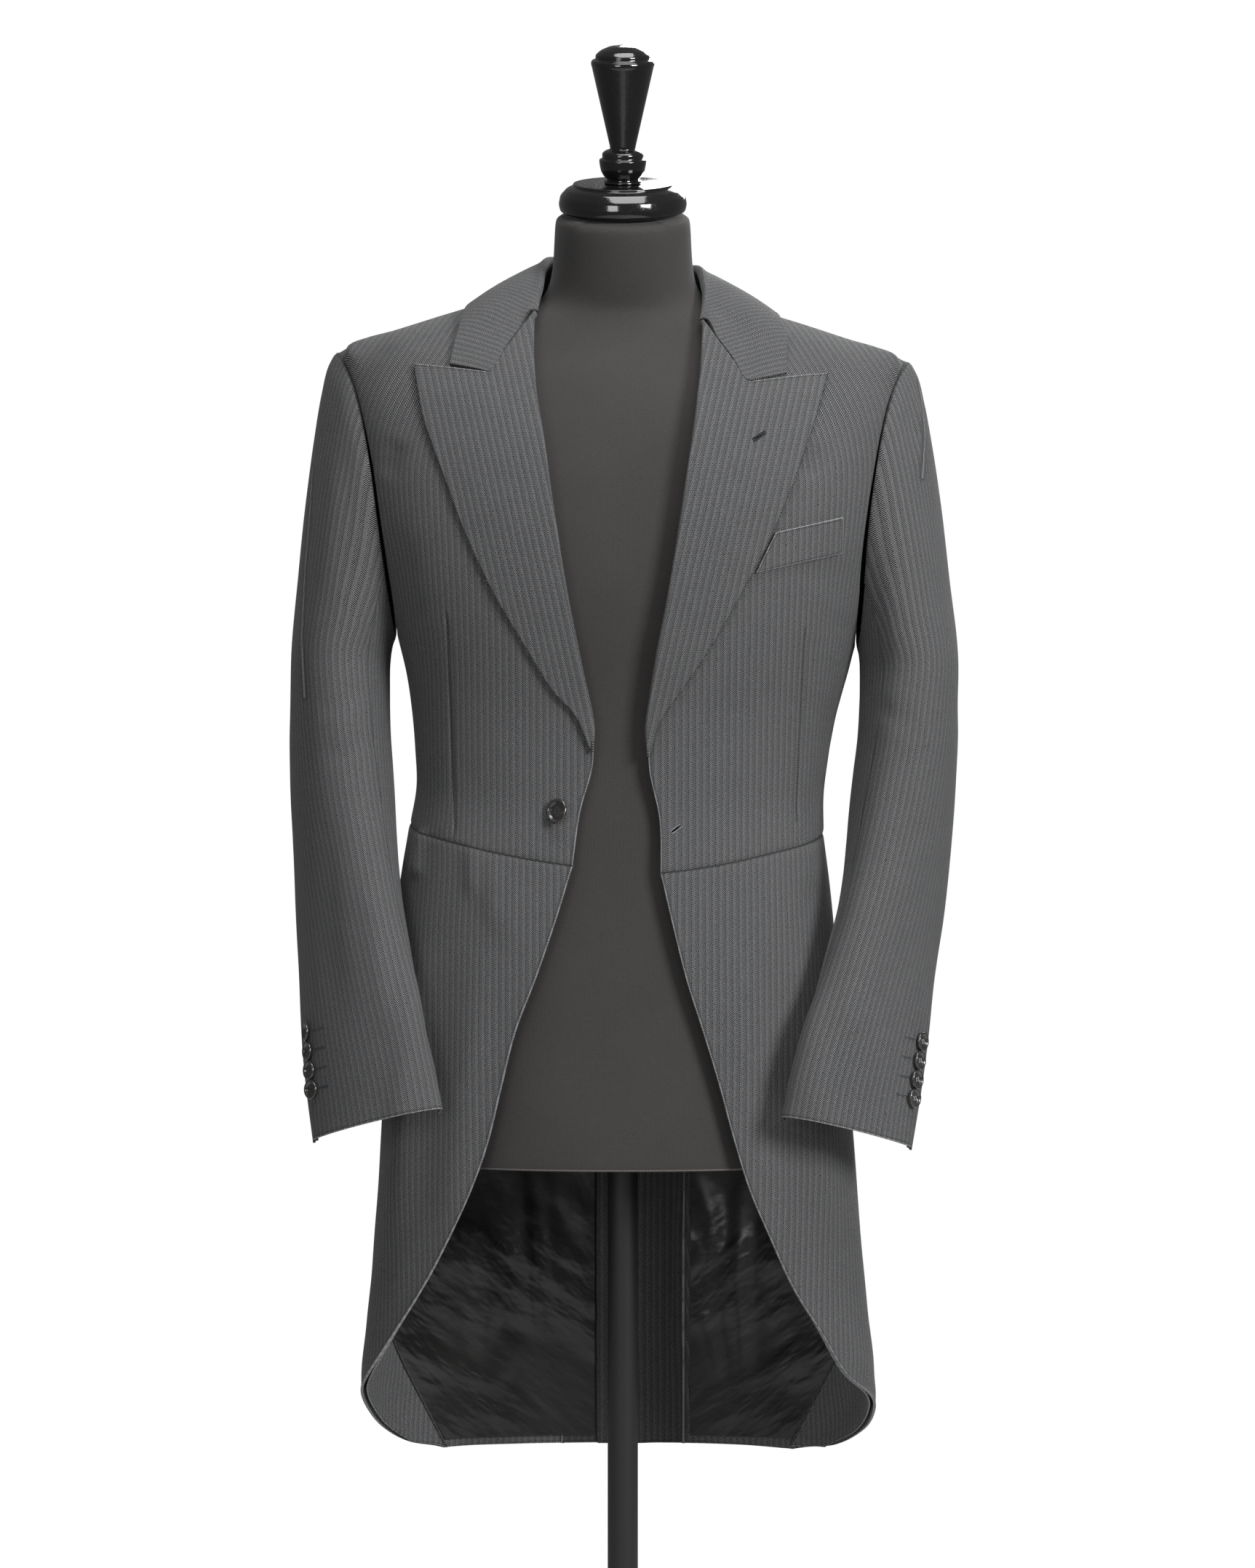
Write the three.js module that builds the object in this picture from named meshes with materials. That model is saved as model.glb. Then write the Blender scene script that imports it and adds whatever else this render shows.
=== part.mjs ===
// Morning coat worn open on a limbless dress form. Millimetres, +Z up, +Y the back of the coat,
// +X the wearer's left. The origin is the middle of the stand's underside, on the floor.
import * as THREE from 'three';
import { mergeVertices } from 'three/addons/utils/BufferGeometryUtils.js';

const vec = (x, y, z) => new THREE.Vector3(x, y, z);
const degree = Math.PI / 180;

// Driving sizes
const cloth = 2.4;            // wall of the coat's cloth
const seam = 0.2;             // each side of a seam, so that no chord comes nearer than about 0.3
const hang = 3.9;             // the wearer's left side hangs this much low, the right as much high
const hemHeight = 435;
const neckHeight = 1408;      // where shoulder seam and neckline meet
const neckBackHeight = 1399;
const shoulderHeight = 1353.5;
const underarmHeight = 1115;
const waistFrontHeight = 931;
const tailSeam = 52;          // from the centre back to the pleat where tail and skirt meet
const neckScoop = 7;          // degrees the neckline bows out between gorge and shoulder seam
const backCurve = { across: 0.62, down: 0.3 }; // where the back's curved seam bends most

// Vent: how far the under tail crosses the centre back, and how it sinks inside the upper one
const vent = { lap: 18, top: 955, fade: 24 };
const underLap = { depth: 3.3, turn: 167, across: 9, above: 42, fade: 30 };
const neckTilt = 15 * degree; // the neck and its cap lean forward

// The coat's outside, one level cut a row: half width, half depths, squareness and middle.
const coatLevels = [
  { z: 425, wide: 214, front: 108, back: 150, square: 2.3, midX: -4, midY: 6 },
  { z: 493, wide: 213, front: 108, back: 146, square: 2.3, midX: -4, midY: 4 },
  { z: 585, wide: 204, front: 110, back: 140, square: 2.3, midX: -4, midY: 2 },
  { z: 693, wide: 196, front: 116, back: 134, square: 2.3, midX: -4, midY: 0 },
  { z: 800, wide: 188, front: 120, back: 127, square: 2.35, midX: -5, midY: 0 },
  { z: 890, wide: 180, front: 118, back: 118, square: 2.4, midX: -6, midY: 0 },
  { z: 945, wide: 174, front: 114, back: 110, square: 2.4, midX: -6, midY: 0 },
  { z: 985, wide: 168, front: 111, back: 104, square: 2.35, midX: -3, midY: 0 },
  { z: 1050, wide: 174, front: 116, back: 108, square: 2.35, midX: 0, midY: 0 },
  { z: 1107, wide: 186, front: 127, back: 120, square: 2.45, midX: 3, midY: 0 },
  { z: 1154, wide: 199, front: 133, back: 128, square: 2.6, midX: 2, midY: 0 },
  { z: 1205, wide: 212, front: 135, back: 134, square: 2.6, midX: 0, midY: 0 },
  { z: 1254, wide: 222, front: 130, back: 137, square: 2.6, midX: 0, midY: 0 },
  { z: 1300, wide: 230, front: 117, back: 134, square: 2.6, midX: 0, midY: 2 },
  { z: 1330, wide: 234, front: 101, back: 124, square: 2.5, midX: 0, midY: 4 },
  { z: 1353.5, wide: 236, front: 84, back: 106, square: 2.4, midX: 0, midY: 6 },
  { z: 1367, wide: 200, front: 76, back: 97, square: 2.3, midX: 0, midY: 8 },
  { z: 1381, wide: 158, front: 68, back: 89, square: 2.2, midX: 0, midY: 10 },
  { z: 1393, wide: 118, front: 62, back: 83, square: 2.1, midX: 0, midY: 12 },
  { z: 1402, wide: 92, front: 58, back: 78, square: 2.1, midX: 0, midY: 13 },
  { z: 1408, wide: 76, front: 56, back: 75, square: 2.1, midX: 0, midY: 14 },
];

// Front edge and roll line, x from the middle on the wearer's right and left.
const frontEdge = [
  { z: 925, right: 41, left: 31 },
  { z: 940, right: 39, left: 30 },
  { z: 970, right: 35, left: 30 },
  { z: 998, right: 28, left: 23 },
  { z: 1016, right: 23.5, left: 21 },
  { z: 1029, right: 23.8, left: 20.3 },
  { z: 1090, right: 34.8, left: 26.7 },
  { z: 1150, right: 46.7, left: 38 },
  { z: 1217, right: 57.2, left: 48.5 },
  { z: 1285, right: 67, left: 58.5 },
  { z: 1324, right: 73, left: 63.5 },
  { z: 1355, right: 74, left: 66 },
  { z: 1380, right: 73.5, left: 66.7 },
];

// Outer edge of the lapel, from its foot up to the peak.
const lapelEdge = [
  { z: 1028, right: 27, left: 23 },
  { z: 1042, right: 30.5, left: 25 },
  { z: 1068, right: 53, left: 40.3 },
  { z: 1110, right: 79.3, left: 68 },
  { z: 1155, right: 105.5, left: 94 },
  { z: 1205, right: 128.4, left: 119.3 },
  { z: 1247, right: 143.7, left: 137 },
  { z: 1289, right: 159, left: 151.7 },
  { z: 1335.5, right: 168.5, left: 166 },
];
// Where gorge seam, notch and collar corner lie.
const gorge = { z: 1380, right: 73.5, left: 66.7 };
const notch = { z: 1327, right: 108, left: 102.5 };
const peak = { z: 1335.5, right: 168.5, left: 166 };
const collarCorner = { z: 1334.6, right: 139.4, left: 131.7 };

// Cutaway edge of the skirt down the front, x from the middle.
const cutaway = [
  { step: 0, z: 930, right: 40, left: 30.5 },
  { step: 1, z: 895, right: 51, left: 39 },
  { step: 2, z: 847, right: 67, left: 51 },
  { step: 3, z: 788, right: 89, left: 69.8 },
  { step: 4, z: 742, right: 100, left: 83 },
  { step: 5, z: 689, right: 113.8, left: 97 },
  { step: 6, z: 632, right: 139, left: 120 },
  { step: 7, z: 590, right: 162.5, left: 139.7 },
  { step: 8, z: 550, right: 188, left: 164.5 },
];
// Below that it turns the side and rounds the corner into the hem.
const corner = {
  right: [
    { turn: 82, z: 513 },
    { turn: 92, z: 495 },
    { turn: 102, z: 474 },
    { turn: 110, z: 456 },
    { turn: 118, z: 443 },
    { turn: 128, z: 436 },
  ],
  left: [
    { turn: 72, z: 521 },
    { turn: 80, z: 503 },
    { turn: 89, z: 487 },
    { turn: 99, z: 468 },
    { turn: 109, z: 450 },
    { turn: 118, z: 439 },
    { turn: 128, z: 435 },
  ],
};

// Inner edge of the cloth facing inside the skirt's front and corner.
const facingLine = [
  { z: 931, turn: 34 },
  { z: 847, turn: 44 },
  { z: 742, turn: 60 },
  { z: 650, turn: 78 },
  { z: 590, turn: 93 },
  { z: 530, turn: 109 },
  { z: 480, turn: 120 },
  { z: 437, turn: 128 },
];

// Waist seam round the body.
const waistSeam = [
  { turn: 0, z: 928 },
  { turn: 17, z: 931 },
  { turn: 38, z: 938 },
  { turn: 58, z: 949 },
  { turn: 90, z: 965 },
  { turn: 130, z: 975 },
  { turn: 180, z: 978 },
];

// Sleeve below the armhole: middle, short and long half sizes of the cut, how far the long one
// has turned inward from straight ahead, and the cut's slope.
const sleeveLevels = [
  { z: 1100, right: 232, left: 236, midY: -3, out: 41.5, deep: 74, turn: 0, tip: 0, back: 0 },
  { z: 1053, right: 233, left: 235.5, midY: -8, out: 41.5, deep: 72, turn: 5, tip: 0, back: 0 },
  { z: 999, right: 231, left: 231, midY: -17, out: 42, deep: 68, turn: 12, tip: 0, back: 0 },
  { z: 950, right: 228, left: 226, midY: -28, out: 40, deep: 66, turn: 20, tip: 0.02, back: 0.02 },
  { z: 905, right: 224.5, left: 220, midY: -42, out: 37, deep: 65, turn: 28, tip: 0.06, back: 0.05 },
  { z: 859, right: 219, left: 210, midY: -58, out: 35.5, deep: 64, turn: 36, tip: 0.1, back: 0.09 },
  { z: 797, right: 210, left: 196, midY: -82, out: 31, deep: 62, turn: 48, tip: 0.15, back: 0.13 },
  { z: 750, right: 202, left: 185.5, midY: -95, out: 28, deep: 61, turn: 57, tip: 0.18, back: 0.16 },
  { z: 722, right: 197.5, left: 180.5, midY: -101, out: 26.5, deep: 60, turn: 61, tip: 0.19, back: 0.17 },
];
// Angles round the sleeve at which the hind and fore seams run.
const sleeveSeams = [
  { z: 1100, hind: -40, fore: 128 },
  { z: 1053, hind: -36, fore: 130 },
  { z: 999, hind: -33, fore: 134 },
  { z: 950, hind: -31, fore: 138 },
  { z: 905, hind: -29, fore: 142 },
  { z: 859, hind: -27, fore: 147 },
  { z: 797, hind: -24, fore: 153 },
  { z: 750, hind: -22, fore: 158 },
  { z: 722, hind: -21, fore: 160 },
];
const headSeams = { hind: -62, fore: 124 };
// How the sleeve head fills out from the armhole: all round, and more at the crown or the front.
const headGap = 1;
const headFill = { out: 3, crownOut: 14, ahead: 9, up: 3, crownDown: 12, near: 0.02, spread: 0.3 };

// Collar from the centre back round to the gorge: fold line, foot of the stand, and outer edge.
const collarStations = [
  { step: 0, foldX: 0, foldY: 80, foldZ: 1440, footX: 0, footY: 87, footZ: 1397, turn: 180, z: 1388 },
  { step: 1, foldX: 31, foldY: 74, foldZ: 1440, footX: 35, footY: 78.5, footZ: 1399, turn: 150, z: 1388.5 },
  { step: 2, foldX: 54, foldY: 52, foldZ: 1438, footX: 60, footY: 57, footZ: 1402, turn: 122, z: 1391 },
  { step: 3, foldX: 64, foldY: 22, foldZ: 1434, footX: 71.5, footY: 24, footZ: 1405, turn: 98, z: 1393 },
  { step: 4, foldX: 66.5, foldY: -6, foldZ: 1425, footX: 71, footY: -8, footZ: 1403, turn: 74, z: 1384 },
  { step: 5, foldX: 68, foldY: -32, foldZ: 1406, footX: 69, footY: -30, footZ: 1396, turn: 63.5, z: 1362 },
];

// Dress form under the coat, one level cut a row; slope lifts the back of a cut.
const formLevels = [
  { z: 686.5, wide: 160, front: 108, back: 112, square: 2.3, midY: 2, slope: 0 },
  { z: 740, wide: 163, front: 109, back: 113, square: 2.3, midY: 2, slope: 0 },
  { z: 820, wide: 162, front: 108, back: 108, square: 2.3, midY: 0, slope: 0 },
  { z: 900, wide: 155, front: 103, back: 99, square: 2.3, midY: 0, slope: 0 },
  { z: 985, wide: 148, front: 97, back: 90, square: 2.3, midY: 0, slope: 0 },
  { z: 1060, wide: 155, front: 103, back: 95, square: 2.3, midY: 0, slope: 0 },
  { z: 1130, wide: 170, front: 116, back: 110, square: 2.4, midY: 0, slope: 0 },
  { z: 1200, wide: 184, front: 122, back: 121, square: 2.4, midY: 0, slope: 0 },
  { z: 1255, wide: 193, front: 116, back: 124, square: 2.4, midY: 2, slope: 0 },
  { z: 1300, wide: 199, front: 103, back: 118, square: 2.3, midY: 4, slope: 0 },
  { z: 1332, wide: 199, front: 87, back: 105, square: 2.2, midY: 6, slope: 0 },
  { z: 1350, wide: 186, front: 74, back: 92, square: 2.1, midY: 8, slope: 0 },
  { z: 1367, wide: 158, front: 65, back: 82, square: 2.1, midY: 9, slope: 0 },
  { z: 1381, wide: 116, front: 59, back: 73, square: 2, midY: 10, slope: 0 },
  { z: 1390, wide: 86, front: 56, back: 65, square: 2, midY: 9, slope: 0.04 },
  { z: 1401, wide: 66, front: 56, back: 58, square: 2, midY: 6, slope: 0.1 },
  { z: 1418, wide: 58.5, front: 56, back: 56, square: 2, midY: 0, slope: 0.18 },
  { z: 1442, wide: 57, front: 56, back: 56, square: 2, midY: -7, slope: 0.24 },
  { z: 1464, wide: 56, front: 56, back: 56, square: 2, midY: -13, slope: 0.268 },
  { z: 1469, wide: 52, front: 52, back: 52, square: 2, midY: -14, slope: 0.268 },
];

// Turned neck cap and its handle: radius and height along the tilted neck.
const capRing = [
  [0, 0], [46, 0], [51.5, 2.5], [52.8, 8], [51.5, 15],
  [46.5, 20.5], [42.5, 22.4], [41, 22.8], [41, 25], [0, 25],
];
const handleLift = 25.3;
const handle = [
  [0, 0], [15.5, 0], [15.5, 2], [12.6, 2.8], [15.4, 5.5], [18, 10], [19, 15], [19.3, 18], [19.3, 19.5],
  [16.8, 20.3], [17, 24.6], [14.6, 26.6], [10.4, 28], [10.6, 30], [25.4, 95.5], [26.1, 97.5], [25.6, 100.5],
  [22.2, 101.4], [22.4, 104.8], [18, 108.6], [11, 111.6], [0, 113.2],
];
const cap = { y: -14.2, z: 1469.8 };
const pole = { radius: 12.5, plate: 29.5, plateThick: 4, clear: 0.3 };
const base = { radius: 190, rim: 9, hub: 26, height: 34 };
const baseProfile = [
  [0, 0], [base.radius - 2, 0], [base.radius, 2], [base.radius, base.rim - 3],
  [base.radius - 4, base.rim], [60, 13], [base.hub, 17], [base.hub - 3, base.height], [0, base.height],
];

// Lapel and collar leaf: how far over the edge they roll, and how they lie on the coat
const rollOver = 1.2;
const leafUnder = 1.3;
const leafLift = leafUnder + cloth;
const crest = { half: 3.6, drop: 3 };
const leafBulge = 2.5;
const gorgeGap = 0.8;
const leafColumns = 6;
// The collar's end from the foot of its stand over the roll line: turn, lift off the coat, height.
const collarEnd = [
  { turn: 1, lift: -7, up: 2.5 },
  { turn: 0.6, lift: -4.5, up: 2.5 },
  { turn: -0.4, lift: -1.5, up: 2 },
  { turn: -1.2, lift: 1.4, up: 1.4 },
  { turn: 0, lift: leafLift, up: gorgeGap },
];

// The skirt's inside, and the breast welt from its low inner corner round
const facingDepth = { outer: -4.1, inner: -5.7 };
const liningDepth = { outer: -4.4, inner: -5.6 };
const cornerTop = 530;         // rows of the skirt gather below this, round its corner
const liningFoot = 448;
const liningTop = 934;
const liningEdge = 58;         // the left lining's back edge, from the centre back
const liningGap = { facing: 0.6, lap: 2 };
const weltCorners = [
  { x: 106, z: 1172.5 },
  { x: 176, z: 1190 },
  { x: 176.5, z: 1219.5 },
  { x: 122, z: 1205.5 },
];
const weltLift = { outer: 3, inner: 1.1 };

// Buttons: radius, thickness, stand-off and place
const frontButton = { radius: 10.4, thick: 3.8, shank: 5.4, x: 51, z: 974 };
const frontButtonLean = { aside: 0.66, up: 0.1 }; // it hangs askew on its shank
const backButton = { radius: 10.4, thick: 3.8, shank: 2.4, x: 48, z: 988 };
const cuffButton = { radius: 7.75, thick: 3.2, shank: 1.8 };
const cuffRow = { count: 4, first: 758.5, pitch: 14.5, turn: 13 };
// How far each cuff button looks ahead, from the lowest up.
const cuffAhead = { right: [0.24, 0.1, -0.04, -0.18], left: [0.12, 0.14, 0.1, 0.12] };

// ---- reading the tables ----

// Smooth value of one column at a height or step, rows in rising or falling order.
function read(table, column, key, value) {
  const rows = table[0][key] < table[table.length - 1][key] ? table : [...table].reverse();
  const last = rows.length - 1;
  const clamped = Math.min(Math.max(value, rows[0][key]), rows[last][key]);
  const i = Math.min(rows.findIndex((row, n) => n === last || clamped <= rows[n + 1][key]), last - 1);
  const [a, b] = [rows[i], rows[i + 1]];
  const span = b[key] - a[key];
  const t = (clamped - a[key]) / span;
  const slopeAt = (n) => {
    if (n === 0 || n === last) return 0;
    const before = (rows[n][column] - rows[n - 1][column]) / (rows[n][key] - rows[n - 1][key]);
    const after = (rows[n + 1][column] - rows[n][column]) / (rows[n + 1][key] - rows[n][key]);
    return before * after > 0 ? (2 * before * after) / (before + after) : 0;
  };
  const straight = (b[column] - a[column]) / span;
  const m0 = (i === 0 ? straight : slopeAt(i)) * span;
  const m1 = (i === last - 1 ? straight : slopeAt(i + 1)) * span;
  const [t2, t3] = [t * t, t * t * t];
  return (2 * t3 - 3 * t2 + 1) * a[column] + (t3 - 2 * t2 + t) * m0
    + (3 * t2 - 2 * t3) * b[column] + (t3 - t2) * m1;
}

const sideName = (side) => (side < 0 ? 'right' : 'left');
const smooth = (t) => THREE.MathUtils.smoothstep(t, 0, 1);

// ---- the coat's surface: turn is degrees from the centre front, side is -1 right, 1 left ----

function level(z) {
  const row = {};
  for (const column of ['wide', 'front', 'back', 'square', 'midX', 'midY']) {
    row[column] = read(coatLevels, column, 'z', z);
  }
  return row;
}

function radiusAt(row, turn) {
  const [s, c] = [Math.abs(Math.sin(turn * degree)), Math.cos(turn * degree)];
  const deep = c > 0 ? row.front : row.back;
  const reach = (s / row.wide) ** row.square + (Math.abs(c) / deep) ** row.square;
  return reach ** (-1 / row.square);
}

// The coat hangs a little lower on the wearer's left, except at the hem.
function settle(p) {
  return vec(p.x, p.y, p.z - hang * (p.x / Math.hypot(p.x, 30)) * smooth((p.z - hemHeight) / 400));
}

function coatPoint(side, turn, z) {
  const row = level(z);
  const radius = radiusAt(row, turn);
  const x = row.midX + side * radius * Math.sin(turn * degree);
  return settle(vec(x, row.midY - radius * Math.cos(turn * degree), z));
}

// Turn at which the surface lies x from the middle, at the front or the back.
function turnAt(side, x, z, atBack = false) {
  const row = level(z);
  const across = Math.min(Math.max(x - side * row.midX, 0) / row.wide, 0.9999);
  const deep = (atBack ? row.back : row.front) * Math.pow(1 - across ** row.square, 1 / row.square);
  const turn = Math.atan2(across * row.wide, deep) / degree;
  return atBack ? 180 - turn : turn;
}

function surfaceNormal(point, u, v, du, dv) {
  const across = point(u + du, v).sub(point(u - du, v));
  const up = point(u, v + dv).sub(point(u, v - dv));
  return across.cross(up).normalize();
}

function coatNormal(side, turn, z) {
  const low = Math.min(z, neckHeight - 1);
  const normal = surfaceNormal((a, b) => coatPoint(side, a, b), turn, low, 0.5, 1);
  return normal.multiplyScalar(side);
}

function lifted(side, turn, z, lift) {
  return coatPoint(side, turn, z).addScaledVector(coatNormal(side, turn, z), lift);
}

// ---- armhole: a loop on the coat's side; angle 0 is the shoulder, 90 the front, 180 the underarm ----

const armhole = {
  deep: 71,
  high: (shoulderHeight - underarmHeight) / 2,
  midZ: (shoulderHeight + underarmHeight) / 2,
};

function armholeAt(side, angle) {
  const z = armhole.midZ + armhole.high * Math.cos(angle * degree);
  const row = level(z);
  const y = -armhole.deep * Math.sin(angle * degree) + smooth(Math.cos(angle * degree)) * row.midY;
  const deep = y < row.midY ? row.front : row.back;
  const across = Math.pow(1 - Math.abs((y - row.midY) / deep) ** row.square, 1 / row.square);
  const turn = Math.atan2(across * row.wide, row.midY - y) / degree;
  return { turn, z };
}

// ---- panels: a four-sided patch of turn and height, given by its edges ----

// Point a fraction of the way along a list of {turn, z}, by real length.
function along(side, list) {
  const points = list.map((p) => coatPoint(side, p.turn, p.z));
  const reach = [0];
  for (let i = 1; i < points.length; i += 1) reach.push(reach[i - 1] + points[i].distanceTo(points[i - 1]));
  return (fraction) => {
    const want = fraction * reach[reach.length - 1];
    const found = reach.findIndex((length) => length >= want - 1e-9);
    const i = Math.max(found, 1);
    const t = (want - reach[i - 1]) / (reach[i] - reach[i - 1]);
    return {
      turn: list[i - 1].turn + t * (list[i].turn - list[i - 1].turn),
      z: list[i - 1].z + t * (list[i].z - list[i - 1].z),
    };
  };
}

const steps = (count) => Array.from({ length: count + 1 }, (_, i) => i / count);
const blend = (a, b, t) => ({ turn: a.turn + (b.turn - a.turn) * t, z: a.z + (b.z - a.z) * t });

// An edge in one or more stretches, each with its own number of rows.
function edgeRows(side, stretches) {
  const rows = [];
  for (const { list, rows: count } of stretches) {
    const place = along(side, list);
    steps(count).forEach((t, i) => {
      if (i > 0 || rows.length === 0) rows.push(place(t));
    });
  }
  return rows;
}

const evenly = (side, list, count) => edgeRows(side, [{ list, rows: count }]);

// Fill between two side edges (same number of rows) and two end edges (same number of columns).
function fill(first, last, start, end) {
  const [rows, columns] = [first.length - 1, start.length - 1];
  return steps(rows).map((v, j) => steps(columns).map((u, i) => {
    const sides = blend(first[j], last[j], u);
    const ends = blend(start[i], end[i], v);
    const corners = blend(blend(first[0], last[0], u), blend(first[rows], last[rows], u), v);
    return { turn: sides.turn + ends.turn - corners.turn, z: sides.z + ends.z - corners.z };
  }));
}

// Draw the border of a grid in by the seam allowance.
function pullIn(grid, amount) {
  const [rows, columns] = [grid.length - 1, grid[0].length - 1];
  return grid.map((row, j) => row.map((p, i) => {
    const q = p.clone();
    const toward = (n, m) => q.add(grid[n][m].clone().sub(p).setLength(amount));
    if (j === 0) toward(1, i);
    if (j === rows) toward(rows - 1, i);
    if (i === 0) toward(j, 1);
    if (i === columns) toward(j, columns - 1);
    return q;
  }));
}

// A closed wall between an outer and an inner grid of points.
function wall(outer, inner) {
  const [rows, columns] = [outer.length, outer[0].length];
  const at = (layer, j, i) => layer * rows * columns + j * columns + i;
  const positions = [...outer.flat(), ...inner.flat()].flatMap((p) => [p.x, p.y, p.z]);
  const faces = [];
  const quad = (a, b, c, d) => faces.push(a, b, c, a, c, d);
  for (let j = 0; j + 1 < rows; j += 1) {
    for (let i = 0; i + 1 < columns; i += 1) {
      quad(at(0, j, i), at(0, j, i + 1), at(0, j + 1, i + 1), at(0, j + 1, i));
      quad(at(1, j, i), at(1, j + 1, i), at(1, j + 1, i + 1), at(1, j, i + 1));
    }
  }
  const rim = (j0, i0, j1, i1) => quad(at(0, j0, i0), at(1, j0, i0), at(1, j1, i1), at(0, j1, i1));
  for (let i = 0; i + 1 < columns; i += 1) {
    rim(0, i, 0, i + 1);
    rim(rows - 1, i + 1, rows - 1, i);
  }
  for (let j = 0; j + 1 < rows; j += 1) {
    rim(j + 1, 0, j, 0);
    rim(j, columns - 1, j + 1, columns - 1);
  }
  return closed(positions, faces);
}

// Geometry with its faces turned out.
function closed(positions, faces) {
  let volume = 0;
  const at = (n) => vec(positions[3 * n], positions[3 * n + 1], positions[3 * n + 2]);
  for (let f = 0; f < faces.length; f += 3) {
    volume += at(faces[f]).dot(at(faces[f + 1]).cross(at(faces[f + 2])));
  }
  const index = volume > 0 ? faces : faces.map((_, n) => faces[3 * Math.floor(n / 3) + (2 - (n % 3))]);
  const geometry = new THREE.BufferGeometry();
  geometry.setAttribute('position', new THREE.Float32BufferAttribute(positions, 3));
  geometry.setIndex(index);
  geometry.computeVertexNormals();
  return geometry;
}

const materials = {
  herringbone: { color: 0x545557, roughness: 0.85, metalness: 0 },
  lining: { color: 0x1c1b1a, roughness: 0.35, metalness: 0 },
  button: { color: 0x2a292b, roughness: 0.4, metalness: 0 },
  jersey: { color: 0x443f3d, roughness: 0.9, metalness: 0 },
  blackLacquer: { color: 0x0b0b0c, roughness: 0.12, metalness: 0 },
  blackSteel: { color: 0x101011, roughness: 0.35, metalness: 0.6 },
};

const part = new THREE.Group();

function add(name, geometry, material, parent = part) {
  const mesh = new THREE.Mesh(geometry, new THREE.MeshStandardMaterial(materials[material]));
  mesh.name = name;
  parent.add(mesh);
  return mesh;
}

// A panel of the coat from its grid of turn and height, between two lifts off the surface.
function addPanel(name, side, grid, outerLift, innerLift, material = 'herringbone') {
  const skin = (lift) => pullIn(grid.map((row) => row.map((p) => (
    lifted(side, p.turn, p.z, lift - (p.sunk ?? 0))))), seam);
  return add(name, wall(skin(outerLift), skin(innerLift)), material);
}

// ---- edges shared by the coat's panels ----

const waistAt = (turn) => ({ turn, z: read(waistSeam, 'z', 'turn', turn) });

function arc(from, to, count, place) {
  return steps(count).map((t) => place(from + (to - from) * t));
}

function frontAt(side, z) {
  return { turn: turnAt(side, read(frontEdge, sideName(side), 'z', z), z), z };
}

const frontWaist = (side) => waistAt(frontAt(side, waistFrontHeight).turn);

const backCorner = 236; // angle round the armhole where the side body meets the back

// Top of the pleat, where the waist seam meets the tail.
const tailTop = (side) => waistAt(turnAt(side, tailSeam, read(waistSeam, 'z', 'turn', 150), true));

// Back seam of the side body, from the armhole down to the waist near the centre back.
function backSeam(side) {
  const top = armholeAt(side, backCorner);
  const foot = tailTop(side);
  const belly = {
    turn: top.turn + backCurve.across * (foot.turn - top.turn),
    z: top.z - backCurve.down * (top.z - foot.z),
  };
  return steps(16).map((t) => {
    const [a, b, c] = [(1 - t) * (1 - t), 2 * t * (1 - t), t * t];
    return { turn: a * top.turn + b * belly.turn + c * foot.turn, z: a * top.z + b * belly.z + c * foot.z };
  });
}

const reversed = (list) => [...list].reverse();
const sideSeam = () => arc(waistAt(90).z, underarmHeight, 8, (z) => ({ turn: 90, z }));

function forepart(side) {
  const neck = { turn: 90, z: neckHeight };
  const waistFront = frontWaist(side);
  const neckline = steps(8).map((t) => blend(frontAt(side, gorge.z), neck, t));
  neckline.forEach((p, i) => {
    p.turn += neckScoop * Math.sin(Math.PI * i / 8);
  });
  const first = edgeRows(side, [
    { list: [waistFront, ...arc(940, gorge.z, 40, (z) => frontAt(side, z))], rows: 11 },
    { list: neckline, rows: 3 },
  ]);
  const last = edgeRows(side, [
    { list: sideSeam(), rows: 5 },
    { list: arc(180, 0, 40, (angle) => armholeAt(side, angle)), rows: 9 },
  ]);
  last[last.length - 1] = { turn: 90, z: shoulderHeight };
  const start = arc(waistFront.turn, 90, 16, waistAt);
  const end = arc(neckHeight, shoulderHeight, 16, (z) => ({ turn: 90, z }));
  return fill(first, last, evenly(side, start, 10), evenly(side, end, 10));
}

function sideBody(side) {
  const seamDown = backSeam(side);
  const foot = seamDown[seamDown.length - 1];
  const first = evenly(side, sideSeam(), 8);
  const last = evenly(side, reversed(seamDown), 8);
  const start = arc(90, foot.turn, 12, waistAt);
  const end = arc(180, backCorner, 12, (angle) => armholeAt(side, angle));
  return fill(first, last, evenly(side, start, 5), evenly(side, end, 5));
}

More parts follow.
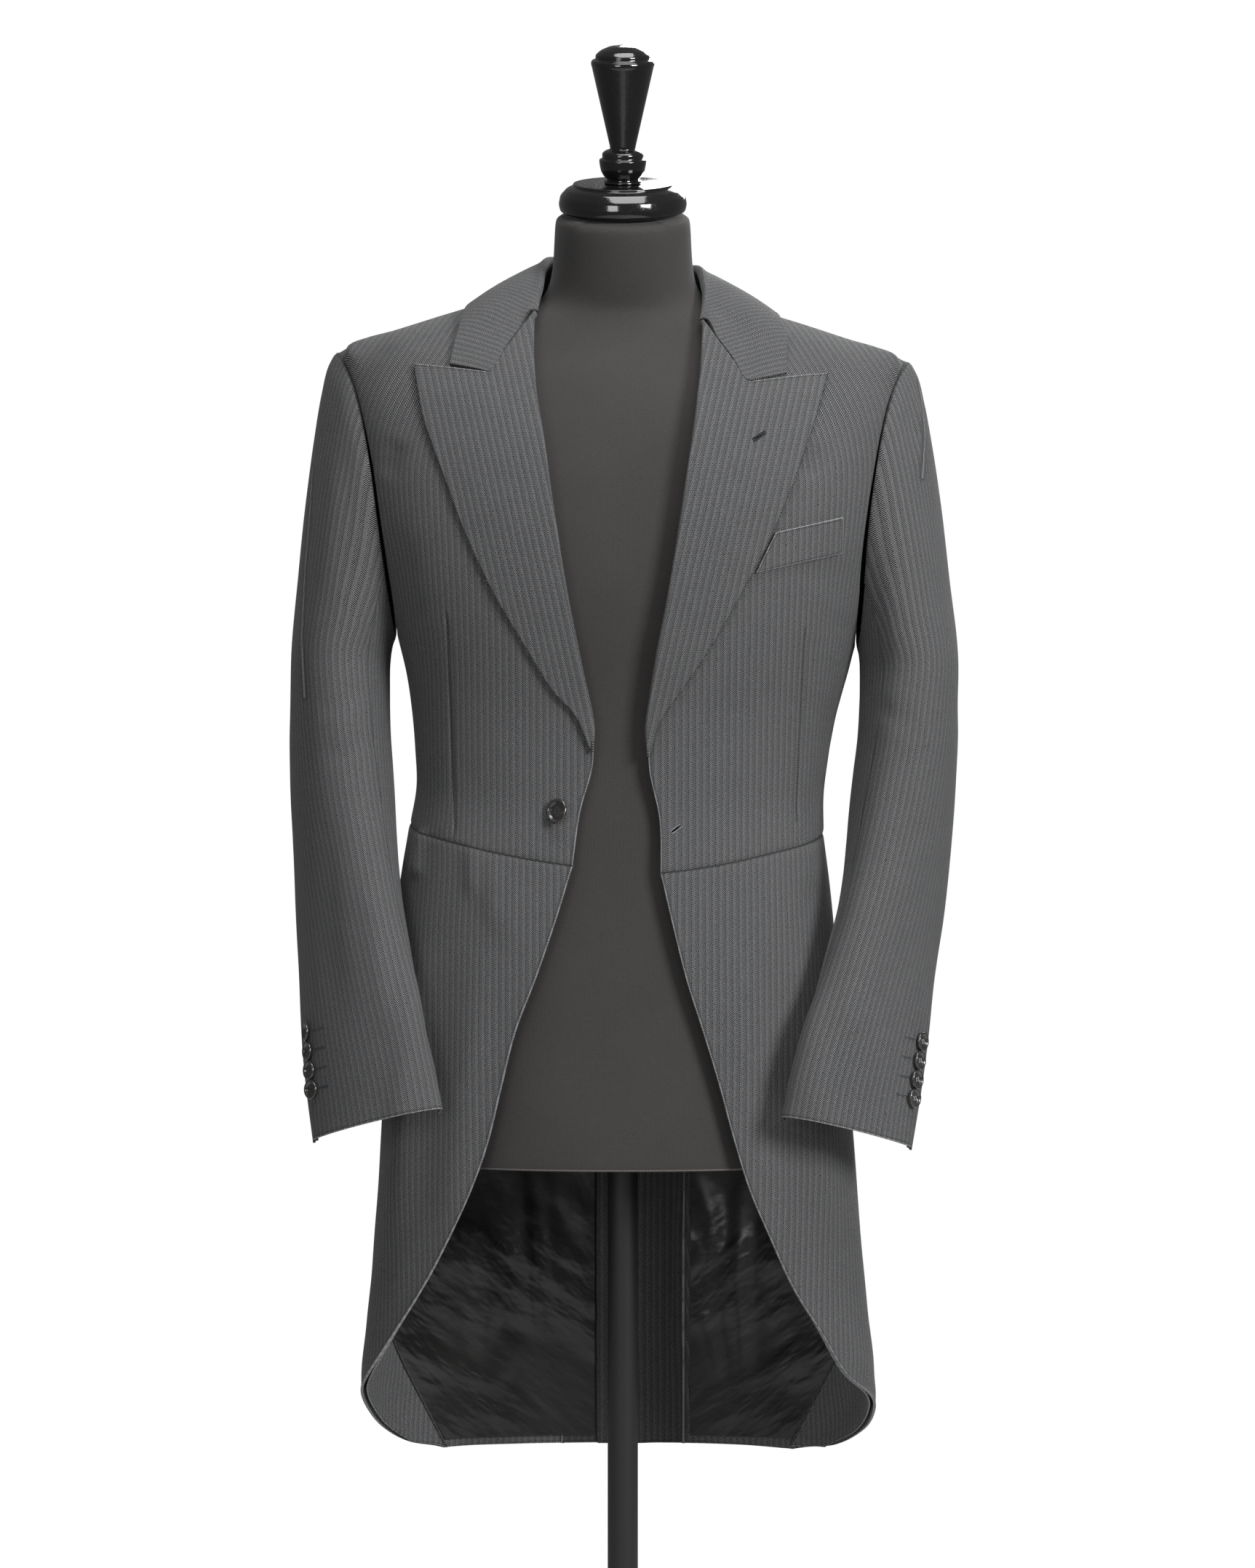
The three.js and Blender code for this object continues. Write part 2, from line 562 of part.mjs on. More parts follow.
// The back runs from the neck to the hem; below the waist the left tail laps under the right.
function back(side) {
  const seamDown = backSeam(side);
  const foot = seamDown[seamDown.length - 1];
  const neckBack = { turn: 180, z: neckBackHeight };
  const neckline = steps(8).map((t) => blend(neckBack, { turn: 90, z: neckHeight }, t));
  const lap = (z) => (side > 0 ? vent.lap * smooth((vent.top - z) / vent.fade) : 0);
  const pastCentre = (z) => lap(z) / radiusAt(level(z), 180) / degree;
  const centre = arc(hemHeight, neckBackHeight, 60, (z) => ({ turn: 180 + pastCentre(z), z }));
  const pleat = arc(hemHeight, foot.z, 20, (z) => ({ turn: turnAt(side, tailSeam, z, true), z }));
  const first = edgeRows(side, [{ list: centre, rows: 20 }, { list: neckline, rows: 4 }]);
  const last = edgeRows(side, [
    { list: pleat, rows: 10 },
    { list: reversed(seamDown), rows: 8 },
    { list: arc(backCorner, 360, 20, (angle) => armholeAt(side, angle)), rows: 6 },
  ]);
  last[last.length - 1] = { turn: 90, z: shoulderHeight };
  const start = arc(first[0].turn, pleat[0].turn, 4, (turn) => ({ turn, z: hemHeight }));
  const end = arc(neckHeight, shoulderHeight, 8, (z) => ({ turn: 90, z }));
  const grid = fill(first, last, evenly(side, start, 6), evenly(side, end, 6));
  const { depth, turn, across, above, fade } = underLap;
  const sunkBy = (p) => depth * smooth((p.turn - turn) / across) * smooth((vent.top + above - p.z) / fade);
  return side > 0 ? grid.map((row) => row.map((p) => ({ ...p, sunk: sunkBy(p) }))) : grid;
}

// Cutaway edge from the waist to the hem.
function cutawayEdge(side) {
  const down = arc(0, 8, 32, (step) => {
    const z = read(cutaway, 'z', 'step', step);
    return { turn: turnAt(side, read(cutaway, sideName(side), 'step', step), z), z };
  });
  down[0] = frontWaist(side);
  const bend = corner[sideName(side)];
  const round = arc(bend[0].turn, bend[bend.length - 1].turn, 20, (turn) => ({
    turn,
    z: read(bend, 'z', 'turn', turn),
  }));
  return { down: [...down, round[0]], round };
}

const hemLine = (from, to, z = hemHeight) => arc(from, to, 12, (turn) => ({ turn, z }));

function skirt(side) {
  const { down, round } = cutawayEdge(side);
  const waistFront = down[0];
  const edgeFoot = round[round.length - 1];
  const foot = tailTop(side);
  const pleat = (from, to) => arc(from, to, 20, (z) => ({ turn: turnAt(side, tailSeam, z, true), z }));
  const first = edgeRows(side, [{ list: reversed(round), rows: 5 }, { list: reversed(down), rows: 10 }]);
  const last = edgeRows(side, [
    { list: pleat(hemHeight, cornerTop), rows: 5 },
    { list: pleat(cornerTop, foot.z), rows: 10 },
  ]);
  const start = hemLine(edgeFoot.turn, last[0].turn).map((p) => ({
    turn: p.turn,
    z: hemHeight + (edgeFoot.z - hemHeight) * smooth(1 - (p.turn - edgeFoot.turn) / 20),
  }));
  const end = arc(waistFront.turn, foot.turn, 20, waistAt);
  return fill(first, last, evenly(side, start, 12), evenly(side, end, 12));
}

const placed = (side, point) => ({ turn: turnAt(side, point[sideName(side)], point.z), z: point.z });

// Lapel: from the roll line out to its edge, its top following gorge, notch and peak.
function lapel(side) {
  const rolled = (z) => {
    const x = read(frontEdge, sideName(side), 'z', z) - rollOver;
    return { turn: turnAt(side, x, z), z };
  };
  const outer = (z) => ({ turn: turnAt(side, read(lapelEdge, sideName(side), 'z', z), z), z });
  const [low, tip] = [placed(side, notch), placed(side, peak)];
  const top = edgeRows(side, [{ list: [rolled(gorge.z), low], rows: 3 }, { list: [low, tip], rows: 3 }]);
  const first = edgeRows(side, [{ list: arc(1024, gorge.z, 40, rolled), rows: 13 }]);
  const last = edgeRows(side, [{ list: arc(1028, peak.z, 40, outer), rows: 13 }]);
  return fill(first, last, evenly(side, [first[0], last[0]], 6), top);
}

// ---- collar: a sheet folded over its crest, mirrored about the centre back ----

// Lift a point until it stands clear of the coat's surface.
function clearOf(side, p, lift) {
  if (p.z > neckHeight - 2) return p;
  const row = level(p.z);
  const [across, back] = [side * (p.x - row.midX), row.midY - p.y];
  const turn = Math.atan2(Math.abs(across), back) / degree;
  const normal = coatNormal(side, turn, p.z);
  const out = vec(side * Math.sin(turn * degree), -Math.cos(turn * degree), 0);
  const height = (Math.hypot(across, back) - radiusAt(row, turn)) * normal.dot(out);
  return height < lift ? p.clone().addScaledVector(normal, lift - height) : p;
}

function flat(side, turn, z, lift) {
  const row = level(z);
  const radius = radiusAt(row, turn);
  const x = row.midX + side * radius * Math.sin(turn * degree);
  const p = vec(x, row.midY - radius * Math.cos(turn * degree), z);
  return p.addScaledVector(coatNormal(side, turn, z), lift);
}

// One station's points: foot of the stand, its middle, over the crest, then down the leaf.
function collarRow(side, step) {
  const at = (column) => read(collarStations, column, 'step', step);
  const fold = vec(side * at('foldX'), at('foldY'), at('foldZ'));
  const foot = vec(side * at('footX'), at('footY'), at('footZ'));
  const inward = vec(-fold.x, 20 - fold.y, 0).setLength(crest.half);
  const drop = vec(0, 0, -crest.drop);
  const crestIn = fold.clone().add(inward).add(drop);
  const crestOut = fold.clone().sub(inward).add(drop);
  const edge = flat(side, at('turn'), at('z'), leafLift);
  const middle = foot.clone().lerp(crestIn, 0.5).addScaledVector(inward, 0.15);
  const leaf = steps(leafColumns).slice(1).map((t) => {
    const bulge = Math.sin(Math.PI * t) * leafBulge;
    const p = crestOut.clone().lerp(edge, t).addScaledVector(inward, -bulge / crest.half);
    p.z += 0.5 * bulge;
    return t < 1 ? clearOf(side, p, leafLift) : p;
  });
  return [foot, middle, crestIn, fold, crestOut, ...leaf];
}

// The last row lies along the gorge, the notch and the collar's corner.
function gorgeRow(side) {
  const start = { turn: turnAt(side, gorge[sideName(side)] - rollOver, gorge.z), z: gorge.z };
  const [bottom, tip] = [placed(side, notch), placed(side, collarCorner)];
  const lie = (p, lift, up = gorgeGap) => flat(side, p.turn, p.z + up, lift);
  const inside = collarEnd.map(({ turn, lift, up }) => lie({ ...start, turn: start.turn + turn }, lift, up));
  const down = steps(3).slice(1).map((t) => lie(blend(start, bottom, t), leafLift));
  const out = steps(3).slice(1).map((t) => lie(blend(bottom, tip, t), leafLift, gorgeGap * (1 - t)));
  return [...inside, ...down, ...out];
}

function collarHalf(side) {
  const count = 9;
  const lastStation = collarStations.length - 1;
  const free = steps(count).map((t) => collarRow(side, t * lastStation));
  const end = gorgeRow(side);
  const before = free[count];
  const ending = steps(3).slice(1).map((t) => before.map((p, i) => {
    const q = p.clone().lerp(end[i], t);
    return t < 1 && i > 4 ? clearOf(side, q, leafLift) : q;
  }));
  return [...free, ...ending];
}

// Normals of a grid of points, by its neighbours.
function gridNormals(grid) {
  const [rows, columns] = [grid.length - 1, grid[0].length - 1];
  return grid.map((row, j) => row.map((_, i) => {
    const across = grid[j][Math.min(i + 1, columns)].clone().sub(grid[j][Math.max(i - 1, 0)]);
    const up = grid[Math.min(j + 1, rows)][i].clone().sub(grid[Math.max(j - 1, 0)][i]);
    return across.cross(up).normalize();
  }));
}

// A wall whose right side is the grid and whose wrong side lies the given way along its normals.
function sheetWall(grid, depth) {
  const right = pullIn(grid, seam);
  const normals = gridNormals(right);
  const wrong = right.map((row, j) => row.map((p, i) => p.clone().addScaledVector(normals[j][i], depth)));
  return wall(right, wrong);
}

function collar() {
  const rows = [...reversed(collarHalf(-1)), ...collarHalf(1).slice(1)];
  return rows.map((row) => row.map(settle));
}

// ---- sleeves: rings from the armhole to the cuff; angle 0 is outward, 90 forward, 180 inward ----

function sleeveRing(side, angle, z) {
  const at = (column) => read(sleeveLevels, column, 'z', z);
  const turn = at('turn') * degree;
  const across = at('out') * Math.cos(angle * degree - turn);
  const lengthwise = at('deep') * Math.sin(angle * degree - turn);
  const out = across * Math.cos(turn) - lengthwise * Math.sin(turn);
  const back = -across * Math.sin(turn) - lengthwise * Math.cos(turn);
  return vec(side * (at(sideName(side)) + out), at('midY') + back, z - at('tip') * out - at('back') * back);
}

const headTop = sleeveLevels[0].z;
const cuffFoot = sleeveLevels[sleeveLevels.length - 1].z;

function sleevePoint(side, angle, place) {
  if (place >= 1) {
    return settle(sleeveRing(side, angle, THREE.MathUtils.lerp(headTop, cuffFoot, place - 1)));
  }
  const hole = armholeAt(side, angle);
  const start = flat(side, hole.turn, hole.z, 0).add(vec(side * headGap, 0, 0));
  const end = sleeveRing(side, angle, headTop);
  const crown = 0.5 + 0.5 * Math.cos(angle * degree);
  const bulge = vec(
    side * (headFill.out + headFill.crownOut * crown),
    -headFill.ahead * Math.sin(angle * degree),
    headFill.up - headFill.crownDown * crown,
  );
  const control = start.clone().add(bulge).lerp(end, headFill.near + headFill.spread * (1 - crown));
  const t = place;
  const p = start.multiplyScalar((1 - t) ** 2).addScaledVector(control, 2 * t * (1 - t));
  return settle(p.addScaledVector(end, t * t));
}

function seamAngle(place, which) {
  const low = read(sleeveSeams, which, 'z', THREE.MathUtils.lerp(headTop, cuffFoot, Math.max(place - 1, 0)));
  return place < 1 ? THREE.MathUtils.lerp(headSeams[which], low, place) : low;
}

function sleeveNormal(side, angle, place) {
  const at = (a, p) => sleevePoint(side, a, p);
  return surfaceNormal(at, angle, Math.min(Math.max(place, 0.01), 1.99), 2, 0.01).multiplyScalar(side);
}

// Place runs 0 at the armhole, 1 at the foot of the head and 2 at the cuff.
// Rows from the cuff up to the armhole; columns from one seam to the other.
function sleevePanel(side, upper, columns) {
  const places = [...steps(13).map((t) => 2 - t), ...steps(6).slice(1).map((t) => 1 - t)];
  const skin = (lift) => pullIn(places.map((place) => {
    const [hind, fore] = [seamAngle(place, 'hind'), seamAngle(place, 'fore')];
    const [from, to] = upper ? [hind, fore] : [fore, hind + 360];
    return steps(columns).map((u) => {
      const angle = from + (to - from) * u;
      return sleevePoint(side, angle, place).addScaledVector(sleeveNormal(side, angle, place), lift);
    });
  }), seam);
  return wall(skin(0), skin(-cloth));
}

// ---- facing and lining inside the skirt ----

const facingAt = (z, more = 0) => ({ turn: read(facingLine, 'turn', 'z', z) + more, z });

function skirtFacing(side) {
  const { down, round } = cutawayEdge(side);
  const [edge, bend] = [down.filter((p) => p.z < 926), round.filter((p) => p.turn < 118)];
  const first = edgeRows(side, [{ list: reversed(bend), rows: 4 }, { list: reversed(edge), rows: 9 }]);
  const last = edgeRows(side, [
    { list: arc(437, cornerTop, 12, (z) => facingAt(z)), rows: 4 },
    { list: arc(cornerTop, edge[0].z, 30, (z) => facingAt(z)), rows: 9 },
  ]);
  return fill(first, last, evenly(side, [first[0], last[0]], 2), evenly(side, [first[13], last[13]], 2));
}

function skirtLining(side) {
  const backAt = (z) => ({ turn: side > 0 ? turnAt(side, liningEdge, z, true) : besideLap(z), z });
  const frontAlong = (z) => facingAt(z, liningGap.facing);
  const first = evenly(side, arc(liningFoot, liningTop, 30, frontAlong), 9);
  const last = evenly(side, arc(liningFoot, liningTop, 30, backAt), 9);
  const line = (z) => arc(frontAlong(z).turn, backAt(z).turn, 8, (turn) => ({ turn, z }));
  return fill(first, last, evenly(side, line(liningFoot), 6), evenly(side, line(liningTop), 6));
}

// The right lining stops beside the lap of the left tail.
function besideLap(z) {
  return 180 - (vent.lap + liningGap.lap) / radiusAt(level(z), 180) / degree;
}

// ---- breast welt on the wearer's left ----

function breastWelt() {
  const [lowIn, lowOut, highOut, highIn] = weltCorners.map(({ x, z }) => ({ turn: turnAt(1, x, z), z }));
  const first = evenly(1, [lowIn, highIn], 3);
  const last = evenly(1, [lowOut, highOut], 3);
  return fill(first, last, evenly(1, [lowIn, lowOut], 6), evenly(1, [highIn, highOut], 6));
}

// ---- buttons ----

function buttonProfile({ radius, thick }) {
  return [
    [0, 0], [radius - 1.6, 0], [radius, 1.3], [radius, thick - 0.8], [radius - 0.8, thick],
    [radius - 2, thick], [radius - 3, thick - 0.9], [0, thick - 0.9],
  ];
}

// Stand a turned solid on a point, its axis along the normal.
function addButton(name, size, point, normal, facing = normal) {
  const mesh = add(name, turned(buttonProfile(size), 14), 'button');
  mesh.position.copy(point).addScaledVector(normal, size.shank);
  mesh.quaternion.setFromUnitVectors(vec(0, 0, 1), facing);
}

// ---- dress form ----

function formBody() {
  const around = 32;
  const rings = formLevels.map((row) => steps(around).slice(0, around).map((t) => {
    const turn = 360 * t;
    const radius = radiusAt(row, turn);
    const [x, y] = [radius * Math.sin(turn * degree), -radius * Math.cos(turn * degree)];
    return vec(x, row.midY + y, row.z + row.slope * y);
  }));
  return loft(rings);
}

// Rings joined by quads and closed flat at both ends.
function loft(rings) {
  const around = rings[0].length;
  const faces = [];
  for (let j = 0; j + 1 < rings.length; j += 1) {
    for (let i = 0; i < around; i += 1) {
      const [a, b] = [j * around + i, j * around + (i + 1) % around];
      faces.push(a, b, b + around, a, b + around, a + around);
    }
  }
  const points = rings.flat();
  for (const [ring, turned] of [[0, true], [rings.length - 1, false]]) {
    const middle = rings[ring].reduce((sum, p) => sum.add(p), vec(0, 0, 0)).divideScalar(around);
    points.push(middle);
    for (let i = 0; i < around; i += 1) {
      const [a, b] = [ring * around + i, ring * around + (i + 1) % around];
      faces.push(...(turned ? [points.length - 1, b, a] : [points.length - 1, a, b]));
    }
  }
  return closed(points.flatMap((p) => [p.x, p.y, p.z]), faces);
}

// A turned solid from its radius and height pairs, standing along +Z.
function turned(profile, around) {
  const lathe = new THREE.LatheGeometry(profile.map(([r, h]) => new THREE.Vector2(r, h)), around);
  lathe.rotateX(Math.PI / 2);
  lathe.deleteAttribute('normal');
  lathe.deleteAttribute('uv');
  return mergeVertices(lathe, 1e-4);
}

add('form_torso', formBody(), 'jersey');

const neck = new THREE.Group();
neck.position.set(0, cap.y, cap.z);
neck.rotation.x = neckTilt;
part.add(neck);
add('neck_cap', turned(capRing, 32), 'blackLacquer', neck);
add('neck_handle', turned(handle, 20), 'blackLacquer', neck).position.z = handleLift;

const poleTop = formLevels[0].z - pole.clear;
add('stand_pole', turned([
  [0, base.height + pole.clear], [pole.radius, base.height + pole.clear],
  [pole.radius, poleTop - pole.plateThick], [pole.plate, poleTop - pole.plateThick],
  [pole.plate, poleTop], [0, poleTop],
], 20), 'blackSteel');
add('stand_base', turned(baseProfile, 32), 'blackSteel');

// ---- coat body ----

for (const side of [-1, 1]) {
  const hand = sideName(side);
  addPanel(`forepart_${hand}`, side, forepart(side), 0, -cloth);
  addPanel(`side_body_${hand}`, side, sideBody(side), 0, -cloth);
  addPanel(`back_${hand}`, side, back(side), 0, -cloth);
  addPanel(`skirt_${hand}`, side, skirt(side), 0, -cloth);
}

for (const side of [-1, 1]) {
  const hand = sideName(side);
  addPanel(`lapel_${hand}`, side, lapel(side), leafLift, leafUnder);
  addPanel(`skirt_facing_${hand}`, side, skirtFacing(side), facingDepth.outer, facingDepth.inner);
  addPanel(`skirt_lining_${hand}`, side, skirtLining(side), liningDepth.outer, liningDepth.inner, 'lining');
  add(`top_sleeve_${hand}`, sleevePanel(side, true, 8), 'herringbone');
  add(`under_sleeve_${hand}`, sleevePanel(side, false, 6), 'herringbone');
}
add('collar', sheetWall(collar(), cloth), 'herringbone');
addPanel('breast_welt', 1, breastWelt(), weltLift.outer, weltLift.inner);

function bodyButton(name, side, size, atBack, lean = { aside: 0, up: 0 }) {
  const turn = turnAt(side, size.x, size.z, atBack);
  const normal = coatNormal(side, turn, size.z);
  const facing = normal.clone().add(vec(side * lean.aside, 0, lean.up)).normalize();
  addButton(name, size, coatPoint(side, turn, size.z), normal, facing);
}

bodyButton('front_button', -1, frontButton, false, frontButtonLean);
for (const side of [-1, 1]) {
  bodyButton(`back_button_${sideName(side)}`, side, backButton, true);
  for (let i = 0; i < cuffRow.count; i += 1) {
    const place = 1 + (headTop - cuffRow.first - cuffRow.pitch * i) / (headTop - cuffFoot);
    const ahead = cuffAhead[sideName(side)][i];
    const normal = sleeveNormal(side, cuffRow.turn, place).add(vec(0, -ahead, 0)).normalize();
    const name = `cuff_button_${sideName(side)}_${i + 1}`;
    addButton(name, cuffButton, sleevePoint(side, cuffRow.turn, place), normal);
  }
}

export default part;
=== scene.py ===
# Morning coat on a dress form: cloth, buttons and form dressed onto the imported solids.
import math

import bmesh
import bpy
import numpy as np
from mathutils import Matrix, Vector


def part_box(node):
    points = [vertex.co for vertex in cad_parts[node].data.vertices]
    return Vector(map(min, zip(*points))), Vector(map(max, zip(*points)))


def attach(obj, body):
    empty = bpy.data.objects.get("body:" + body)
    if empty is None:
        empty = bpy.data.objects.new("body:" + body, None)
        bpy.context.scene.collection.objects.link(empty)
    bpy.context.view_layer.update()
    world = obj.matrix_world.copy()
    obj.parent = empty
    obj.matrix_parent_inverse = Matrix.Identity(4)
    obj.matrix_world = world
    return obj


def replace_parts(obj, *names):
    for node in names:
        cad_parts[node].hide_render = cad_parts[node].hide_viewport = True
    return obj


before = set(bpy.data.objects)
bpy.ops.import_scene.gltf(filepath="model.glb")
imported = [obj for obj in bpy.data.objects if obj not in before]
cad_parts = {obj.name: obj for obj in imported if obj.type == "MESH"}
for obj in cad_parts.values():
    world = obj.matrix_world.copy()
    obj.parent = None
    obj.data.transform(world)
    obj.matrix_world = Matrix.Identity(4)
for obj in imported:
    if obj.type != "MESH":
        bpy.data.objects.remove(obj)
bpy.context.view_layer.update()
mm = 0.001


# Wraps an output socket, so that sums and products on it add their Math nodes.
class Wire:
    def __init__(self, tree, socket=None):
        self.tree = tree
        self.socket = socket

    def node(self, kind, settings=None, inputs=None, out=0):
        made = self.tree.nodes.new(kind)
        for key, value in (settings or {}).items():
            setattr(made, key, value)
        for key, value in (inputs or {}).items():
            if isinstance(value, Wire):
                self.tree.links.new(value.socket, made.inputs[key])
            else:
                made.inputs[key].default_value = value
        return Wire(self.tree, made.outputs[out])

    def math(self, operation, *others):
        inputs = {n: value for n, value in enumerate((self, *others))}
        return self.node("ShaderNodeMath", {"operation": operation}, inputs)

    def swapped(self, operation, other):
        return self.node("ShaderNodeMath", {"operation": operation}, {0: other, 1: self})

    def __add__(self, other):
        return self.math("ADD", other)

    def __sub__(self, other):
        return self.math("SUBTRACT", other)

    def __rsub__(self, other):
        return self.swapped("SUBTRACT", other)

    def __mul__(self, other):
        return self.math("MULTIPLY", other)

    def __truediv__(self, other):
        return self.math("DIVIDE", other)

    __radd__ = __add__
    __rmul__ = __mul__

    # Runs from 0 to 1 and back once for every 1 that it rises.
    def wave(self):
        return (self * math.tau).math("SINE") * 0.5 + 0.5

    # 0 below low, 1 above high, eased between
    def step(self, low, high):
        settings = {"interpolation_type": "SMOOTHSTEP"}
        return self.node("ShaderNodeMapRange", settings, {0: self, 1: low, 2: high})

    def mix(self, a, b):
        inputs = {0: self, 6: a, 7: b}
        return self.node("ShaderNodeMix", {"data_type": "RGBA"}, inputs, 2)

    def object(self):
        return self.node("ShaderNodeTexCoord", None, None, 3)

    def parts(self):
        return [self.node("ShaderNodeSeparateXYZ", None, {0: self}, n) for n in range(3)]

    def noise(self, scale, detail=2.0, roughness=0.5):
        inputs = {"Vector": self, "Scale": scale, "Detail": detail, "Roughness": roughness}
        return self.node("ShaderNodeTexNoise", None, inputs)

    def stretched(self, x, y, z):
        inputs = {0: self, 1: (x, y, z)}
        return self.node("ShaderNodeVectorMath", {"operation": "MULTIPLY"}, inputs)

    def bump(self, strength, distance):
        inputs = {"Height": self, "Strength": strength, "Distance": distance}
        return self.node("ShaderNodeBump", None, inputs)


# A material from its varying inputs and the numbers that are the same all over.
def newMaterial(name, build, steady):
    made = bpy.data.materials.new(name)
    made.use_nodes = True
    tree = made.node_tree
    shader = tree.nodes["Principled BSDF"]
    for key, value in steady.items():
        shader.inputs[key].default_value = value
    for key, wire in build(Wire(tree)).items():
        tree.links.new(wire.socket, shader.inputs[key])
    return made


def newObject(bm, name):
    mesh = bpy.data.meshes.new(name)
    bm.to_mesh(mesh)
    bm.free()
    obj = bpy.data.objects.new(name, mesh)
    bpy.context.collection.objects.link(obj)
    return obj


def grey(value, tint=(1.0, 1.0, 1.0)):
    return (value * tint[0], value * tint[1], value * tint[2], 1.0)


# Noises are (scale, detail, roughness); steps are (start, full).
weave = {
    "rib": 2.8 * mm,              # width of one leg of the herringbone
    "pitch": 1.45 * mm,           # from one twill line to the next
    "slope": 1.1,                 # how steeply the lines climb across a rib
    "yarn": (0.68, 0.98),         # where on a line's wave the pale yarn starts and is full
    "light": 0.325,
    "lightTint": (0.99, 1.0, 1.03),
    "dark": 0.002,
    "darkTint": (1.0, 0.98, 1.02),
    "ribSheen": 0.27,              # how much every second rib is painted lighter: painted sheen for the light its twill catches
    "ribLine": 0.34,              # and how dark the line between two pairs is
    "ribLineFrom": 0.72,          # as a share of the rib
    "threads": (1700, 2.0, 0.6),
    "fuzz": 0.5,                  # how far single threads break the lines up
    "clouds": (26, 3.0, 0.6),
    "cloudTint": 0.14,            # how much the tone drifts over a hand's breadth
    "wander": 0.3 * mm,           # how far the ribs run out of true
    "wanderScale": (110, 30, 1),
    "roughness": 0.94,
    "yarnGloss": 0.14,            # how much smoother the pale yarn is
    "relief": 0.16 * mm,
    "insideShadeShare": 0.55,          # how light its wrong side is painted beside its right side: painted shade for the inside of the coat
    "rim": (0.0, 0.7),            # mm from an edge where the pattern sets in
    "rimYarn": 0.36,              # one even tone on the rims, where the pattern has no width
    "seam": (0.1, 1.3),           # mm from a sewn seam where its painted shade line ends
    "seamShade": 0.6,
    "edge": (0.6, 1.1),           # mm from a pressed edge where its painted highlight line ends
    "edgeGleam": 0.8,
    "besideFrom": (0.8, 1.3),     # and the cloth beside it, darker as painted shade
    "besideTo": (1.6, 3.2),
    "besideShade": 0.35,
}
borders = ("seamAway", "edgeAway")     # mm from a sewn seam and from a free edge, kept on every cloth, for its painted shade and highlight lines


def herringbone(wire, share=1.0):
    uv = wire.node("ShaderNodeUVMap", {"uv_map": "weave"})
    across, along = uv.parts()[:2]
    wander = uv.stretched(*weave["wanderScale"]).noise(1.0, 1.0)
    across = across + (wander - 0.5) * weave["wander"]
    zigzag = across.math("PINGPONG", weave["rib"])
    halfRib = (across / (2 * weave["rib"])).math("FRACT").step(0.49, 0.51)
    phase = (along + zigzag * weave["slope"]) / weave["pitch"]
    lines = phase.wave()
    threads = uv.noise(*weave["threads"])
    yarn = (lines + (threads - 0.5) * weave["fuzz"]).step(*weave["yarn"])
    seam, edge = (uv.node("ShaderNodeAttribute", {"attribute_name": name}, None, 2) for name in borders)
    inside = seam.step(*weave["rim"]) * edge.step(*weave["rim"])
    yarn = yarn * inside + (1.0 - inside) * weave["rimYarn"]
    cloud = uv.noise(*weave["clouds"])
    # Every second rib is painted lighter as painted sheen, and a share below 1 paints the tone darker as
    # painted shade.
    tone = (0.9 + halfRib * weave["ribSheen"] + (cloud - 0.5) * weave["cloudTint"]) * share
    ribLine = zigzag.step(weave["rib"] * weave["ribLineFrom"], weave["rib"])
    # Painted shade on the cloth just beside free edges, next to their painted highlight.
    beside = edge.step(*weave["besideFrom"]) * (1.0 - edge.step(*weave["besideTo"]))
    # Painted shade along sewn seams and the dart, for the shade in their hollows.
    tone = tone * (1.0 - (1.0 - seam.step(*weave["seam"])) * weave["seamShade"])
    tone = tone * (1.0 - ribLine * weave["ribLine"])
    # Painted highlight along free edges and the pressed crease, where light catches them.
    tone = tone * (1.0 + (1.0 - edge.step(*weave["edge"])) * weave["edgeGleam"])
    tone = tone * (1.0 - beside * weave["besideShade"])
    colour = yarn.mix(grey(weave["dark"], weave["darkTint"]), grey(weave["light"], weave["lightTint"]))
    shade = uv.node("ShaderNodeCombineXYZ", None, {0: tone, 1: tone, 2: tone})
    inputs = {0: colour, 1: shade}
    height = lines * 0.6 + threads * 0.4
    return {
        "Base Color": uv.node("ShaderNodeVectorMath", {"operation": "MULTIPLY"}, inputs),
        "Roughness": weave["roughness"] - yarn * weave["yarnGloss"],
        "Normal": height.bump(0.55, weave["relief"]),
    }


# The wrong side of the same cloth, painted duller and darker: painted shade for the shade deep inside the
# coat.
def herringboneInShade(wire):
    return herringbone(wire, weave["insideShadeShare"])


satin = {
    "dark": 0.004464,
    "light": 0.00837,
    "tint": (1.08, 1.0, 0.93),
    "rib": 0.5 * mm,
    "ribHigh": 0.012 * mm,
    "slub": (60, 900, 1),
    "clouds": (18, 3.0, 0.6),
    "rumple": 7.0 * mm,           # how deep its small wrinkles are where it is crushed
    "rumpleScale": (24, 19, 1),
    "patches": (8, 2.0),          # the slow noise of its crushed patches
    "crushed": (0.42, 0.66),      # and where on it they start and are full
    "smoothed": 0.2,              # how much of the wrinkles is left elsewhere
    "roughness": 0.24,
    "slubRoughness": 0.1,
}


def liningSatin(wire):
    uv = wire.node("ShaderNodeUVMap", {"uv_map": "weave"})
    along = uv.parts()[1]
    ribs = (along / satin["rib"]).wave()
    cloud = uv.noise(*satin["clouds"])
    slub = uv.stretched(*satin["slub"]).noise(1.0, 2.0)
    rumples = uv.stretched(*satin["rumpleScale"]).noise(1.0, 3.0, 0.5)
    crushed = uv.noise(*satin["patches"]).step(*satin["crushed"])
    crushed = crushed * (1 - satin["smoothed"]) + satin["smoothed"]
    height = rumples * crushed * satin["rumple"] + (ribs + slub) * satin["ribHigh"]
    dark, light = (grey(satin[tone], satin["tint"]) for tone in ("dark", "light"))
    return {
        "Base Color": (cloud * 0.6 + slub * 0.4).mix(dark, light),
        "Roughness": satin["roughness"] + slub * satin["slubRoughness"],
        "Normal": height.bump(1.0, 1.0),
    }


